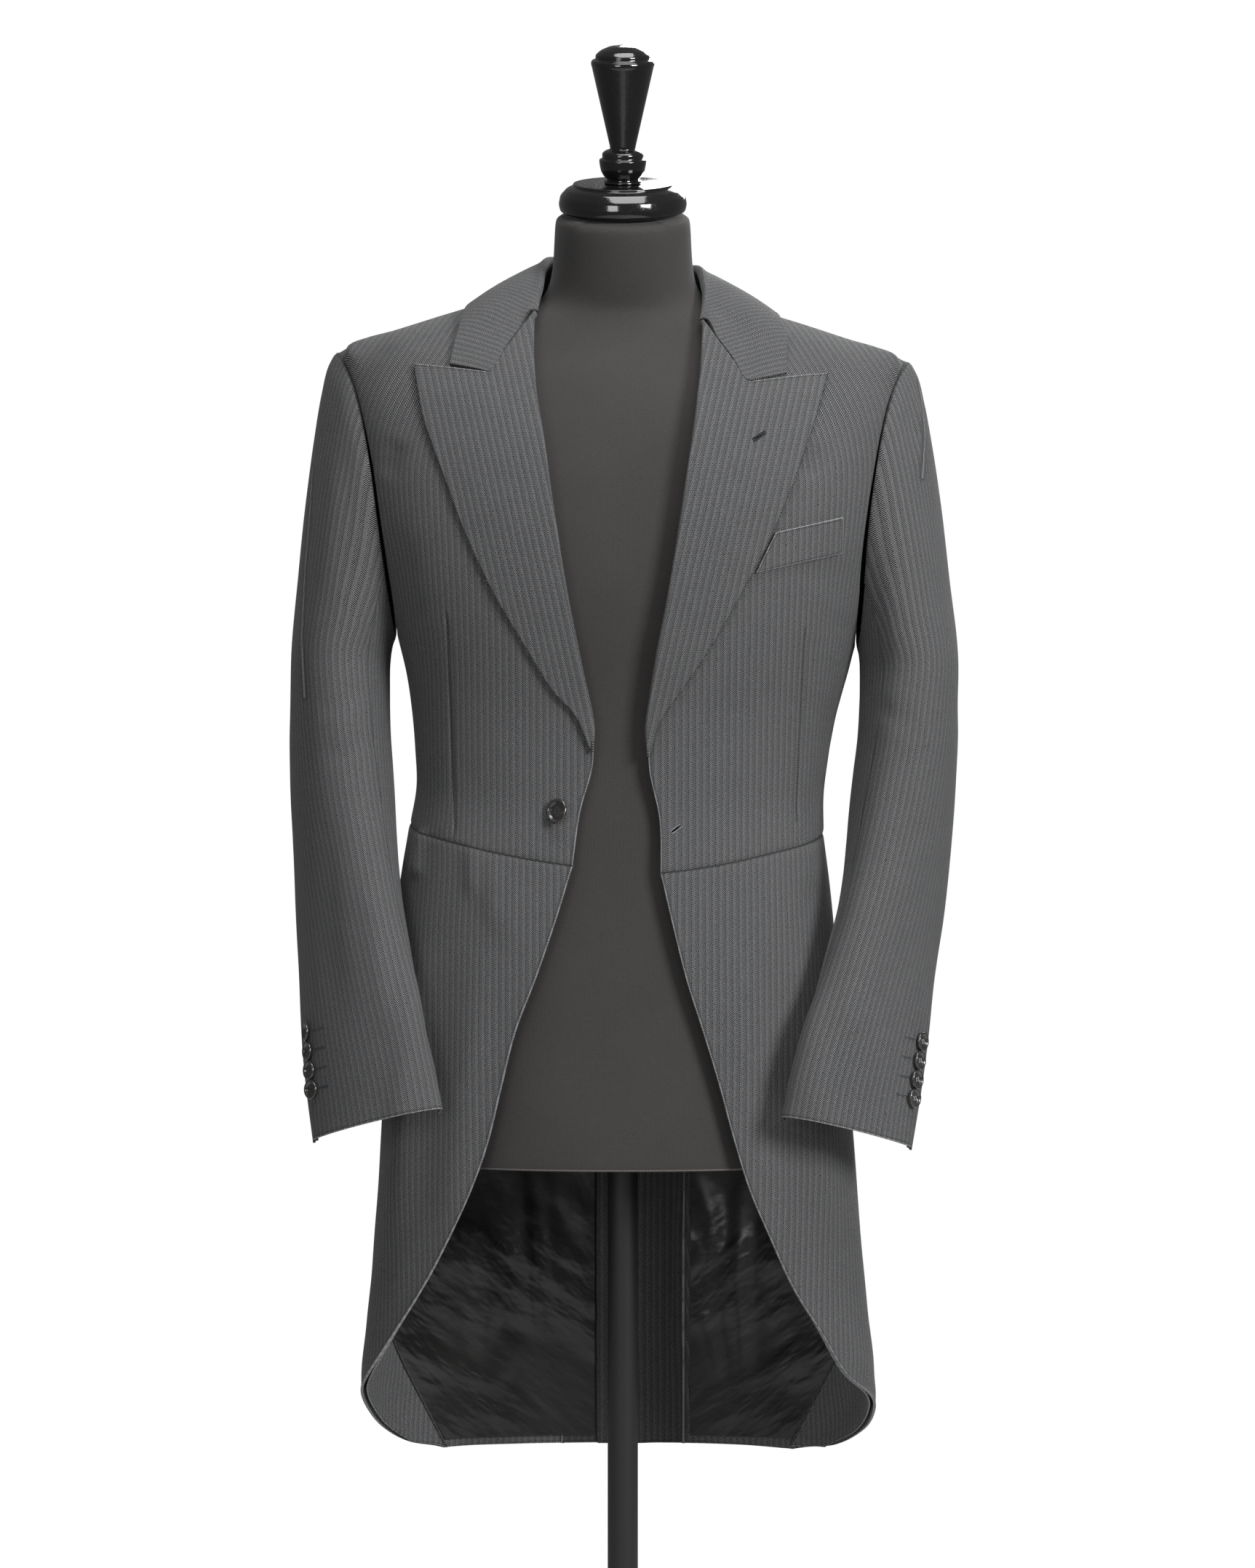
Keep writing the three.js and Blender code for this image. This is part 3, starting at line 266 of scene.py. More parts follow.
knit = {
    "dark": 0.0145,
    "light": 0.05075,
    "tint": (1.08, 0.99, 0.95),
    "radius": 0.16,               # the form's mean radius, to count the ribs round it
    "wale": 1.15 * mm,
    "course": 0.9 * mm,
    "lean": 0.35,                 # how far a rib lifts the course that crosses it
    "flecks": (1100, 2.0, 0.7),
    "clouds": (9, 3.0, 0.55),
    "relief": 0.12 * mm,
    "stitchAt": 688.6 * mm,       # height of the stitched edge at the foot
    "stitchWide": 0.7 * mm,
    "stitchLong": 2.6 * mm,
    "stitch": 0.17,
}


def jerseyKnit(wire):
    place = wire.object()
    x, y, z = place.parts()
    around = x.math("ARCTAN2", y) * knit["radius"]
    wale = (around / knit["wale"]).wave()
    course = ((z + wale * knit["course"] * knit["lean"]) / knit["course"]).wave()
    loops = wale * 0.6 + course * 0.4
    flecks = place.noise(*knit["flecks"])
    cloud = place.noise(*knit["clouds"])
    tone = (loops * 0.5 + flecks * 0.7 + (cloud - 0.5) * 0.3).step(0.15, 1.05)
    dark, light, stitch = (grey(knit[tone], knit["tint"]) for tone in ("dark", "light", "stitch"))
    off = (z - knit["stitchAt"]).math("ABSOLUTE")
    dash = (around / knit["stitchLong"]).math("FRACT").step(0.2, 0.3)
    stitched = (1.0 - off.step(knit["stitchWide"] * 0.4, knit["stitchWide"])) * dash
    return {
        "Base Color": stitched.mix(tone.mix(dark, light), stitch),
        "Roughness": 0.86 + flecks * 0.1,
        "Normal": loops.bump(0.5, knit["relief"]),
    }


gloss = {"dark": 0.004, "light": 0.011, "roughness": 0.1, "dust": 0.2, "waves": 0.35 * mm}


def lacquer(wire):
    place = wire.object()
    specks = place.noise(900, 3.0, 0.6)
    waves = place.noise(60, 2.0, 0.5)
    return {
        "Base Color": (specks * 0.5 + waves * 0.5).mix(grey(gloss["dark"]), grey(gloss["light"])),
        "Roughness": gloss["roughness"] + specks.step(0.5, 0.7) * gloss["dust"],
        "Normal": (specks * 0.25 + waves).bump(0.3, gloss["waves"]),
    }


steel = {"dark": 0.007, "light": 0.014, "roughness": 0.38, "rougher": 0.14, "peel": 0.1 * mm}


def powderCoat(wire):
    peel = wire.object().noise(1800, 2.0, 0.5)
    return {
        "Base Color": peel.mix(grey(steel["dark"]), grey(steel["light"])),
        "Roughness": steel["roughness"] + peel * steel["rougher"],
        "Normal": peel.bump(0.3, steel["peel"]),
    }


hornTone = {
    "dark": grey(0.009, (1.02, 1, 0.98)),
    "streak": grey(0.05, (1.06, 1, 0.93)),
    "roughness": 0.2,
    "rougher": 0.12,
}


def horn(wire):
    place = wire.object()
    bend = place.noise(70, 2.0, 0.5)
    streaks = (place.stretched(1, 1, 5).noise(190, 3.0, 0.6) + bend * 0.5).step(0.45, 1.05)
    fine = place.noise(1500, 2.0, 0.5)
    return {
        "Base Color": streaks.mix(hornTone["dark"], hornTone["streak"]),
        "Roughness": hornTone["roughness"] + fine * hornTone["rougher"],
        "Normal": fine.bump(0.08, 0.1 * mm),
    }


# A matt look between two tones, broken up finely.
def twisted(scale, dark, light, roughness=0.6):
    def look(wire):
        return {"Base Color": wire.object().noise(scale, 2.0, roughness).mix(dark, light)}
    return look


paleTwist = twisted(2400, grey(0.10, (0.95, 1, 1.12)), grey(0.42, (0.95, 1, 1.1)))
darkTwist = twisted(2400, grey(0.010, (0.9, 1, 1.2)), grey(0.05, (0.85, 1, 1.3)))
slitShade = twisted(2000, grey(0.002), grey(0.006), 0.5)
woollen = {"Sheen Weight": 0.08, "Sheen Roughness": 0.5, "Specular IOR Level": 0.25}
silky = {"Sheen Weight": 0.1, "Anisotropic": 0.4, "Specular IOR Level": 0.6}
materials = {
    "herringbone": newMaterial("herringbone", herringbone, woollen),
    "herringboneInShade": newMaterial("herringboneInShade", herringboneInShade, woollen),
    "lining": newMaterial("liningSatin", liningSatin, silky),
    "jersey": newMaterial("jerseyKnit", jerseyKnit, {"Sheen Weight": 0.12, "Sheen Roughness": 0.5}),
    "lacquered_wood": newMaterial("blackLacquer", lacquer, {"Coat Weight": 0.6, "Coat Roughness": 0.04}),
    "black_steel": newMaterial("blackPowderCoat", powderCoat, {}),
    "button": newMaterial("hornButton", horn, {"Coat Weight": 1.0, "Coat Roughness": 0.06}),
    "thread": newMaterial("paleThread", paleTwist, {"Roughness": 0.8}),
    "darkThread": newMaterial("darkThread", darkTwist, {"Roughness": 0.8}),
    "slitShade": newMaterial("slitShade", slitShade, {"Roughness": 1.0, "Specular IOR Level": 0.0}),
}
print("materials made:", len(materials))


# How a solid is read back into a panel's points.
reading = {
    "weld": 0.005 * mm,
    "wallPlay": 0.3,      # mm by which a rim's edge may differ from the wall
    "level": 0.9,         # from here on a face lies level with the skin beside it and is no rim
}


def mergedSolid(name):
    bm = bmesh.new()
    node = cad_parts[name]
    bm.from_mesh(node.data)
    bm.transform(node.matrix_world)
    bmesh.ops.remove_doubles(bm, verts=bm.verts, dist=reading["weld"])
    bmesh.ops.triangulate(bm, faces=bm.faces)
    return bm


# A panel's faces without its rims, as islands that hang together.
def skinsOf(bm, thick):
    edges = [e for e in bm.edges if abs(e.calc_length() / mm - thick) < reading["wallPlay"]]
    rims = {f for e in edges for f in e.link_faces}
    plain = set(bm.faces) - rims
    level = {
        face for face in rims for v in face.verts for f in v.link_faces
        if f in plain and abs(f.normal.dot(face.normal)) > reading["level"]
    }
    left = plain | level
    skins = []
    while left:
        island = [left.pop()]
        for face in island:
            for other in {f for e in face.edges for f in e.link_faces} & left:
                left.discard(other)
                island.append(other)
        skins.append(island)
    return skins


# Rows of points on a panel's right side, in mm, and 1 or -1 as columns x rows point out or in.
def panelGrid(name, thick, rowCount):
    bm = mergedSolid(name)
    low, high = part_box(name) if "sleeve" in name else ((0, 0), (0, 0))
    middle = Vector(((low[0] + high[0]) / 2, (low[1] + high[1]) / 2, 0))

    def outward(island):
        centres = [(f, (f.calc_center_median() - middle) * Vector((1, 1, 0))) for f in island]
        return sum(f.calc_area() * f.normal.dot(away) for f, away in centres)

    skin = max(sorted(skinsOf(bm, thick), key=len)[-2:], key=outward)
    own = {}
    for face in skin:
        for vert in face.verts:
            own.setdefault(vert, []).append(face)
    inside = set(skin)
    beside = {}
    for edge in {e for f in skin for e in f.edges}:
        if len(inside.intersection(edge.link_faces)) == 1:
            for vert in edge.verts:
                beside.setdefault(vert, []).append(edge.other_vert(vert))
    start = min((v for v in beside if len(own[v]) == 2), key=lambda v: v.co.z)

    def walk(vert):
        path = [start, vert]
        while len(own[path[-1]]) > 1:
            path.append(next(v for v in beside[path[-1]] if v is not path[-2]))
        return path

    paths = [walk(v) for v in beside[start]]
    along, across = sorted(paths, key=lambda path: abs(len(path) - rowCount - 1))
    rows = [across]
    for vert in along[1:]:
        row = [vert]
        for i in range(len(across) - 1):
            known = {rows[-1][i], row[-1], rows[-1][i - 1] if i else None}
            shared = [f for f in own[rows[-1][i]] if row[-1] in f.verts]
            row.append(next(v for f in shared for v in f.verts if v not in known))
        rows.append(row)
    grid = np.array([[tuple(v.co / mm) for v in row] for row in rows])
    corner = np.cross(grid[0, 1] - grid[0, 0], grid[1, 0] - grid[0, 0])
    sign = 1.0 if own[start][0].normal.dot(Vector(corner)) > 0 else -1.0
    bm.free()
    return grid, sign


def lengthsOf(vectors):
    return np.linalg.norm(vectors, axis=-1, keepdims=True)


# Points on smooth curves through each column of points, straight into and out of the cut rows.
def throughPoints(points, where, cuts=()):
    if where.ndim == 1:
        where = np.repeat(where[:, None], points.shape[1], axis=1)
    each = np.arange(points.shape[1])
    step = np.diff(points, axis=0)
    length = lengthsOf(step) + 1e-9
    slope = step / length
    middle = (slope[:-1] * length[1:] + slope[1:] * length[:-1]) / (length[1:] + length[:-1])
    arriving = np.concatenate([slope[:1], middle, slope[-1:]])
    leaving = arriving.copy()
    for row in cuts:
        arriving[row] = slope[row - 1]
        leaving[row] = slope[row]
    i = np.clip(where.astype(int), 0, len(points) - 2)
    t = (where - i)[..., None]
    span = length[i, each]
    near = (2 * t**3 - 3 * t**2 + 1) * points[i, each] + (t**3 - 2 * t**2 + t) * span * leaving[i, each]
    far = (3 * t**2 - 2 * t**3) * points[i + 1, each] + (t**3 - t**2) * span * arriving[i + 1, each]
    return near + far


def eased(x):
    x = np.clip(x, 0.0, 1.0)
    return x * x * (3 - 2 * x)


# Rows close to both ends, in mm from them, and how much of that stays free of other rows.
endRows = {"at": (1.0, 2.4, 4.6), "clear": 1.25}


# Row numbers spaced about step mm apart, with more close to both ends.
def spacing(points, step):
    length = np.linalg.norm(np.diff(points, axis=0), axis=-1).max(axis=1)
    where = [0.0]
    for i, cell in enumerate(length):
        parts = max(1, math.ceil(cell / step))
        where += [i + (n + 1) / parts for n in range(parts)]
    hem = endRows["at"]
    clear = hem[-1] * endRows["clear"]
    where = [w for w in where if clear / length[0] < w < len(length) - clear / length[-1]]
    low = [0.0] + [h / length[0] for h in hem]
    high = [len(length) - h / length[-1] for h in reversed(hem)] + [float(len(length))]
    return np.array(low + where + high)


cornerReach = 3.0     # rows or columns over which a corner melts into the smooth cloth


# Smooth curves through the points, bent at each side's own corners close to that side.
def bentCurves(points, where, off, corners):
    smooth = throughPoints(points, where)
    for side, columns in off.items():
        if side in corners:
            weight = eased(1 - columns / cornerReach)[None, :, None]
            smooth = smooth * (1 - weight) + throughPoints(points, where, corners[side]) * weight
    return smooth


# The panel's points made fine, its corners kept sharp on their own side only.
def fineGrid(grid, step, corners, seamAt=None):
    where = spacing(grid, step)
    columns = np.arange(grid.shape[1])
    fine = bentCurves(grid, where, {"first": columns, "last": columns[::-1]}, corners)
    turned = np.swapaxes(fine, 0, 1)
    across = spacing(turned, step)
    if seamAt is not None:
        across = seamAt(fine, across)
    smooth = bentCurves(turned, across, {"low": where, "high": where[-1] - where}, corners)
    return np.swapaxes(smooth, 0, 1)


def normalsOf(points, sign):
    along = np.gradient(points, axis=0)
    across = np.gradient(points, axis=1)
    normal = np.cross(across, along) * sign
    return normal / (lengthsOf(normal) + 1e-9)


def lengthAlong(points, axis, flat=False):
    step = np.diff(points, axis=axis)
    if flat:
        step = step * (1, 1, 0)
    length = np.cumsum(np.linalg.norm(step, axis=-1), axis=axis)
    return np.concatenate([np.zeros_like(np.take(length, [0], axis=axis)), length], axis=axis)


# The chest's grain leans towards the shoulder above one height, fully so above another.
shoulderLean = {"from": 1235.0, "full": 1335.0, "lean": math.radians(32)}

# How the grain goes on over the top of the shoulder.
shoulderTurn = {"from": 1270.0, "fades": 110.0, "share": 0.7, "middle": 226.0, "depth": 70.0}
lapelLean = math.radians(12.5)


def leanAt(z):
    rise = shoulderLean["full"] - shoulderLean["from"]
    t = np.clip((z - shoulderLean["from"]) / rise, 0, None)
    gain = np.where(t < 1, t * t / 2, t - 0.5)
    return gain * rise * math.tan(shoulderLean["lean"])


# Height, with the cloth's way over the shoulder added to it.
def climb(points, over):
    near = eased((points[..., 2] - shoulderTurn["from"]) / shoulderTurn["fades"])
    return points[..., 2] + over * near * shoulderTurn["share"]


# Where the herringbone lies on each kind of panel: across its ribs and along them, in mm.
def frontGrain(points, side):
    across = lengthAlong(points, 1, flat=True) + side * points[:, :1, 0]
    return across + leanAt(points[..., 2]), climb(points, shoulderTurn["depth"] + points[..., 1])


def uprightGrain(points, side):
    across = lengthAlong(points, 1, flat=True) + side * points[:, :1, 0]
    return across, climb(points, shoulderTurn["depth"] - points[..., 1])


# The cutaway edge wanders round the body, so its own travel is added up from the waist.
def skirtGrain(points, side):
    step = np.diff(points[:, 0] * (1, 1, 0), axis=0)
    travel = np.concatenate([[0.0], np.cumsum(np.linalg.norm(step, axis=-1)[::-1])])[::-1]
    across = lengthAlong(points, 1, flat=True) + travel[:, None] + abs(points[-1, 0, 0])
    return across, points[..., 2]


def sleeveGrain(points, side):
    across = lengthAlong(points, 1, flat=True)
    up = climb(points, shoulderTurn["middle"] - np.abs(points[..., 0]))
    return across - across[:, across.shape[1] // 2, None], up


def lapelGrain(points, side):
    out = side * points[..., 0]
    up = points[..., 2]
    cos, sin = math.cos(lapelLean), math.sin(lapelLean)
    return out * cos - up * sin, up * cos + out * sin


def collarGrain(points, side):
    along = lengthAlong(points, 0)
    return along - along[along.shape[0] // 2], lengthAlong(points, 1)


# Creases as seen from one side of the coat. Each row is how wide, how deep (+) or raised (-),
# and its path, all in mm.
outer = ("forepart", "side_body", "back", "skirt", "lapel", "top_sleeve", "under_sleeve", "collar")
sleeves = ("top_sleeve", "under_sleeve")
creases = [
    {"on": outer, "view": "front", "rows": [
        # chest, in front of the armholes
        (9, 2.2, [(158, 1276), (149, 1242)]),
        (10, 2.0, [(-180, 1280), (-194, 1246)]),
        (11, 1.6, [(-184, 1215), (-171, 1120)]),
        (12, 1.4, [(182, 1190), (168, 1105)]),
        # under the waist seam
        (6, -2.4, [(-122, 957), (-120, 900)]),
        (8, -2.2, [(-107, 952), (-102, 872)]),
        (9, -1.2, [(-88, 945), (-90, 860)]),
        (7, -2.4, [(148, 958), (152, 910)]),
        # long soft folds of the skirts
        (12, -2.6, [(-158, 930), (-178, 720), (-196, 560)]),
        (16, -2.8, [(-112, 900), (-128, 720), (-152, 560)]),
        (15, -2.2, [(138, 910), (156, 720), (178, 580)]),
        (18, -2.0, [(88, 880), (112, 690), (146, 560)]),
    ]},
    {"on": outer, "view": "front", "ends": 0.2, "rows": [    # under the waist seam, with blunt ends
        (4, -2.6, [(-175, 968), (-180, 930)]),
        (4, -3.4, [(-163, 966), (-169, 922)]),
        (5, -3.0, [(166, 966), (174, 915)]),
    ]},
    {"on": outer, "view": "back", "rows": [    # between the shoulders, the small of the back and the tails
        (14, 2.0, [(-120, 1330), (-132, 1240), (-128, 1160)]),
        (12, 2.2, [(118, 1322), (131, 1250), (125, 1150)]),
        (10, 1.3, [(-60, 1075), (-10, 1052), (46, 1066)]),
        (8, 1.1, [(-92, 1030), (-40, 1016), (30, 1022)]),
        (14, -2.0, [(-84, 880), (-96, 720), (-104, 560)]),
        (15, -1.8, [(82, 900), (90, 700), (108, 540)]),
        (17, -1.6, [(38, 840), (46, 700), (52, 520)]),
        (15, -1.8, [(-40, 800), (-46, 660), (-56, 500)]),
    ]},
    {"on": ("back",), "view": "back", "rows": [    # the tails' pressed pleats
        (4, -1.8, [(9, 690), (8, 450)]),
        (5, -2.2, [(46, 690), (38, 450)]),
    ]},
    {"on": outer, "view": "right", "rows": [
        (16, -2.0, [(20, 900), (26, 760), (38, 600)]),
        (14, -1.4, [(-50, 880), (-56, 740), (-70, 600)]),
    ]},
    {"on": outer, "view": "left", "rows": [
        (15, -1.8, [(14, 890), (24, 740), (30, 590)]),
        (14, -1.3, [(-54, 880), (-60, 760), (-78, 620)]),
    ]},
    {"on": sleeves, "view": "front", "rows": [    # head, elbow and forearm
        (4.5, -2.2, [(238, 1328), (243, 1290), (241, 1240)]),
        (10, 1.8, [(-228, 1300), (-222, 1220), (-226, 1150)]),
        (7, 1.4, [(-205, 1085), (-232, 1062), (-250, 1058)]),
        (9, 1.2, [(-200, 1040), (-226, 1024), (-246, 1026)]),
        (13, 1.8, [(-238, 1000), (-240, 880), (-226, 780)]),
        (11, -1.6, [(-206, 960), (-196, 860), (-184, 780)]),
        (11, 1.3, [(213, 1240), (208, 1150), (214, 1060)]),
        (8, 1.3, [(200, 1072), (222, 1052), (244, 1050)]),
        (13, 1.6, [(228, 1000), (222, 880), (208, 770)]),
        (11, -1.4, [(196, 930), (184, 830), (176, 760)]),
    ]},
    {"on": sleeves, "view": "back", "rows": [
        (7, 1.4, [(-224, 1090), (-246, 1064), (-262, 1058)]),
        (8, 1.3, [(222, 1082), (246, 1060), (260, 1060)]),
        (10, 1.4, [(236, 1240), (242, 1140), (238, 1040)]),
        (11, 1.3, [(-238, 1235), (-243, 1150), (-240, 1050)]),
    ]},
    {"on": sleeves, "view": "right", "rows": [
        (10, 1.2, [(12, 1240), (4, 1120), (-12, 1030)]),
    ]},
    {"on": sleeves, "view": "left", "rows": [
        (11, 1.3, [(10, 1230), (6, 1130), (-8, 1040)]),
    ]},
    {"on": ("skirt_lining",), "view": "back", "rows": [    # the lining only ever lifts off the skirt
        (8, 2.6, [(-88, 690), (-84, 600), (-74, 520)]),
        (7, 1.4, [(-70, 690), (-60, 610), (-56, 530)]),
        (9, 1.3, [(-64, 668), (-40, 636), (-16, 628)]),
        (8, 1.2, [(-58, 606), (-36, 590), (-16, 588)]),
        (9, 1.0, [(-62, 540), (-38, 548), (-16, 562)]),
        (12, 1.5, [(-130, 478), (-104, 500), (-84, 540)]),
        (13, 2.0, [(-128, 660), (-116, 570), (-122, 480)]),
        (9, 1.5, [(58, 672), (74, 640), (82, 590)]),
        (9, 2.2, [(104, 684), (98, 580), (104, 470)]),
        (9, 1.2, [(60, 560), (74, 530), (84, 480)]),
        (13, 1.9, [(128, 650), (140, 570), (150, 480)]),
    ]},
]

creasing = {
    "deeper": 1.25,           # every crease is this much deeper than its row says
    "ends": 0.35,             # share of its length over which it fades out
    "turnedBy": 0.05,         # how far cloth faces the viewer where creases set in
    "turnedOver": 0.4,
}
viewAxes = {
    "front": (0, 1, -1.0),    # which coordinate reads across, which points at the viewer, its sign
    "back": (0, 1, 1.0),
    "right": (1, 0, -1.0),
    "left": (1, 0, 1.0),
}


# Distance from a path and how far along it, for points given as (across, up).
def fromPath(points, path):
    best = np.full(points.shape[:-1], 1e9)
    along = np.zeros(points.shape[:-1])
    corners = np.array(path, float)
    lengths = np.linalg.norm(np.diff(corners, axis=0), axis=1)
    gone = 0.0
    for a, b, length in zip(corners[:-1], corners[1:], lengths):
        t = np.clip(((points - a) @ (b - a)) / length**2, 0, 1)
        away = np.linalg.norm(points - (a + t[..., None] * (b - a)), axis=-1)
        closer = away < best
        best = np.where(closer, away, best)
        along = np.where(closer, (gone + t * length) / lengths.sum(), along)
        gone += length
    return best, along


def creased(points, normals, group):
    across, facing, sign = viewAxes[group["view"]]
    shown = eased((normals[..., facing] * sign - creasing["turnedBy"]) / creasing["turnedOver"])
    ends = group.get("ends", creasing["ends"])
    depth = np.zeros(points.shape[:-1])
    for wide, deep, path in group["rows"]:
        away, along = fromPath(points[..., [across, 2]], path)
        taper = eased(along / ends) * eased((1 - along) / ends)
        depth += creasing["deeper"] * deep * taper * shown * np.exp(-(away / wide) ** 2)
    return depth


slowWaves = ((148, 0.55), (97, 0.3), (71, 0.2), (53, 0.12))     # mm from crest to crest, and share


# Slow unevenness that no cloth is without.
def wavering(points, amount, seed):
    x, y, z = np.moveaxis(points, -1, 0)
    total = np.zeros(x.shape)
    for n, (wave, share) in enumerate(slowWaves):
        turn = seed * 1.7 + n * 2.3      # odd steps, so that no two waves or panels line up
        run = x * math.cos(turn) + y * math.sin(turn * 1.3) + z * (0.35 + 0.25 * math.sin(turn))
        total += np.sin(run / wave * math.tau + seed + n) * share
    return total * amount


def fromSides(points):
    along = lengthAlong(points, 0)
    across = lengthAlong(points, 1)
    last = across[:, -1:] - across
    return {"low": along, "high": along[-1:] - along, "first": across, "last": last}


# Shares along a side: columns for the low and high ones, rows for the first and last.
def sharesOf(points, side):
    rows, columns = points.shape[:2]
    if side in ("low", "high"):
        return np.linspace(0, 1, columns)[None, :]
    return np.linspace(0, 1, rows)[:, None]


# 1 between two shares of a side and 0 away from them.
def between(share, span, fade):
    start, end = span
    return eased((share - start) / fade + 1) * eased((end - share) / fade + 1)


seamHollow = {"deep": 1.0, "wide": 2.1, "fade": 0.03}
allowance = {"fade": 0.02, "lip": 0.3}     # the lip is how far an edge turns in where it isn't sewn


def sewnDip(points, sewn):
    away = fromSides(points)
    depth = np.zeros(points.shape[:-1])
    for side, span in sewn.items():
        shown = between(sharesOf(points, side), span, seamHollow["fade"])
        dip = seamHollow["deep"] * np.exp(-(away[side] / seamHollow["wide"]) ** 2)
        depth = np.maximum(depth, dip * shown)
    return depth


# Sewn edges get their seam allowance: one more row that turns in under the edge.
def withAllowance(points, normals, sewn, over, deep):
    for side, span in sewn.items():
        axis = 0 if side in ("low", "high") else 1
        edge, inner = (0, 1) if side in ("low", "first") else (-1, -2)
        rim = np.take(points, edge, axis=axis)
        facing = np.take(normals, edge, axis=axis)
        under = between(np.linspace(0, 1, len(rim))[:, None], span, allowance["fade"])
        out = rim - np.take(points, inner, axis=axis)
        out /= lengthsOf(out) + 1e-9
        sunk = allowance["lip"] + (deep - allowance["lip"]) * under
        rim = np.expand_dims(rim + out * over * under - facing * sunk, axis)
        flat = np.expand_dims(facing, axis)
        points = np.concatenate([rim, points] if edge == 0 else [points, rim], axis=axis)
        normals = np.concatenate([flat, normals] if edge == 0 else [normals, flat], axis=axis)
    return points, normals


farOff = 99.0      # mm from any edge


# How far each point is from the nearest of the sides chosen, each from one share of it to another.
def awayFrom(points, chosen):
    away = fromSides(points)
    nearest = np.full(points.shape[:2], farOff)
    for side, (start, end) in chosen.items():
        share = sharesOf(points, side)
        inside = (share >= start) & (share <= end)
        nearest = np.where(inside, np.minimum(nearest, away[side]), nearest)
    return nearest


edgeBevel = {"wide": 0.8 * mm, "from": math.radians(50)}


# A mesh of one cloth panel, its pattern in the UV map called weave.
def clothMesh(name, points, normals, grain, thick, away):
    rows, columns = points.shape[:2]
    bm = bmesh.new()
    bmesh.ops.create_grid(bm, x_segments=columns - 1, y_segments=rows - 1, size=0.5)
    layers = [(bm.verts.layers.float.new(border), away[border]) for border in borders]
    placed = {}
    for vert in bm.verts:
        i = int(np.rint((vert.co.y + 0.5) * (rows - 1)))
        j = int(np.rint((vert.co.x + 0.5) * (columns - 1)))
        placed[vert] = (i, j)
        vert.co = points[i, j] * mm
        for layer, distance in layers:
            vert[layer] = distance[i, j]
    bm.normal_update()
    middle = bm.faces[:][len(bm.faces) // 2]
    if middle.normal.dot(Vector(normals[placed[middle.verts[0]]])) < 0:
        bmesh.ops.reverse_faces(bm, faces=bm.faces)
    uv = bm.loops.layers.uv.new("weave")
    across, along = grain
    for face in bm.faces:
        face.smooth = True
        for loop in face.loops:
            at = placed[loop.vert]
            loop[uv].uv = (across[at] * mm, along[at] * mm)
    obj = newObject(bm, name)
    wall = obj.modifiers.new("wall", "SOLIDIFY")
    wall.thickness = thick * mm
    wall.offset = -1.0
    edge = obj.modifiers.new("edge", "BEVEL")
    edge.width = edgeBevel["wide"]
    edge.segments = 2
    edge.limit_method = "ANGLE"
    edge.angle_limit = edgeBevel["from"]
    return obj


sides = {"right": -1.0, "left": 1.0}    # the wearer's, and the sign of X there
darts = {
    "right": [(-142, 1140), (-136, 957)],
    "left": [(147, 1126), (141, 968)],
    "beside": (0.6, 1.3, 2.2, 3.6),      # columns kept close on both sides of the seam, in mm
    "clear": 1.5,                        # and how much of the last stays free of others
    "wide": 1.2,
    "deep": 1.6,
    "ends": 0.08,
    "shade": 1.4,                        # how much narrower its painted shade line is than a seam's
}


# Columns of a forepart, shifted row by row so that one of them follows the dart.
def alongDart(side):
    (x0, z0), (x1, z1) = darts[side]

    def shift(fine, across):
        columns = np.arange(fine.shape[1])
        off = (fine[..., 0] - x0 - (fine[..., 2] - z0) * (x1 - x0) / (z1 - z0)) * sides[side]
        at = np.array([np.interp(0, row, columns) for row in off])
        home = at.mean()
        cell = np.linalg.norm(np.diff(fine, axis=1), axis=-1).mean()
        near = [0.0] + [sign * d / cell for d in darts["beside"] for sign in (-1, 1)]
        kept = [u for u in across if abs(u - home) > darts["beside"][-1] * darts["clear"] / cell]
        across = np.array(sorted(kept + [home + d for d in near]))
        last = columns[-1]
        pull = np.where(across < home, across / home, (last - across) / (last - home))
        return across[:, None] + pull[:, None] * (at - home)[None, :]
    return shift


# The lapel's roll: its fold turned under itself, in mm, flatter towards its foot.
roll = {"radius": 2.5, "steps": 5, "turn": math.radians(165), "fade": 22.0}


def rolledUnder(points, normals):
    out = points[:, 0] - points[:, 1]
    out /= lengthsOf(out)
    up = lengthAlong(points, 0)[:, :1]
    radius = roll["radius"] * eased(up / roll["fade"])
    turned = []
    for n in range(roll["steps"], 0, -1):
        turn = roll["turn"] * n / roll["steps"]
        under = normals[:, 0] * radius * (1 - math.cos(turn))
        turned.append(points[:, 0] + out * radius * math.sin(turn) - under)
    return np.concatenate([np.stack(turned, axis=1), points], axis=1)


# Sides run from one share to another: low and high are the ends, first and last the edges.
whole = (0, 1)
everySide = {side: whole for side in ("low", "high", "first", "last")}
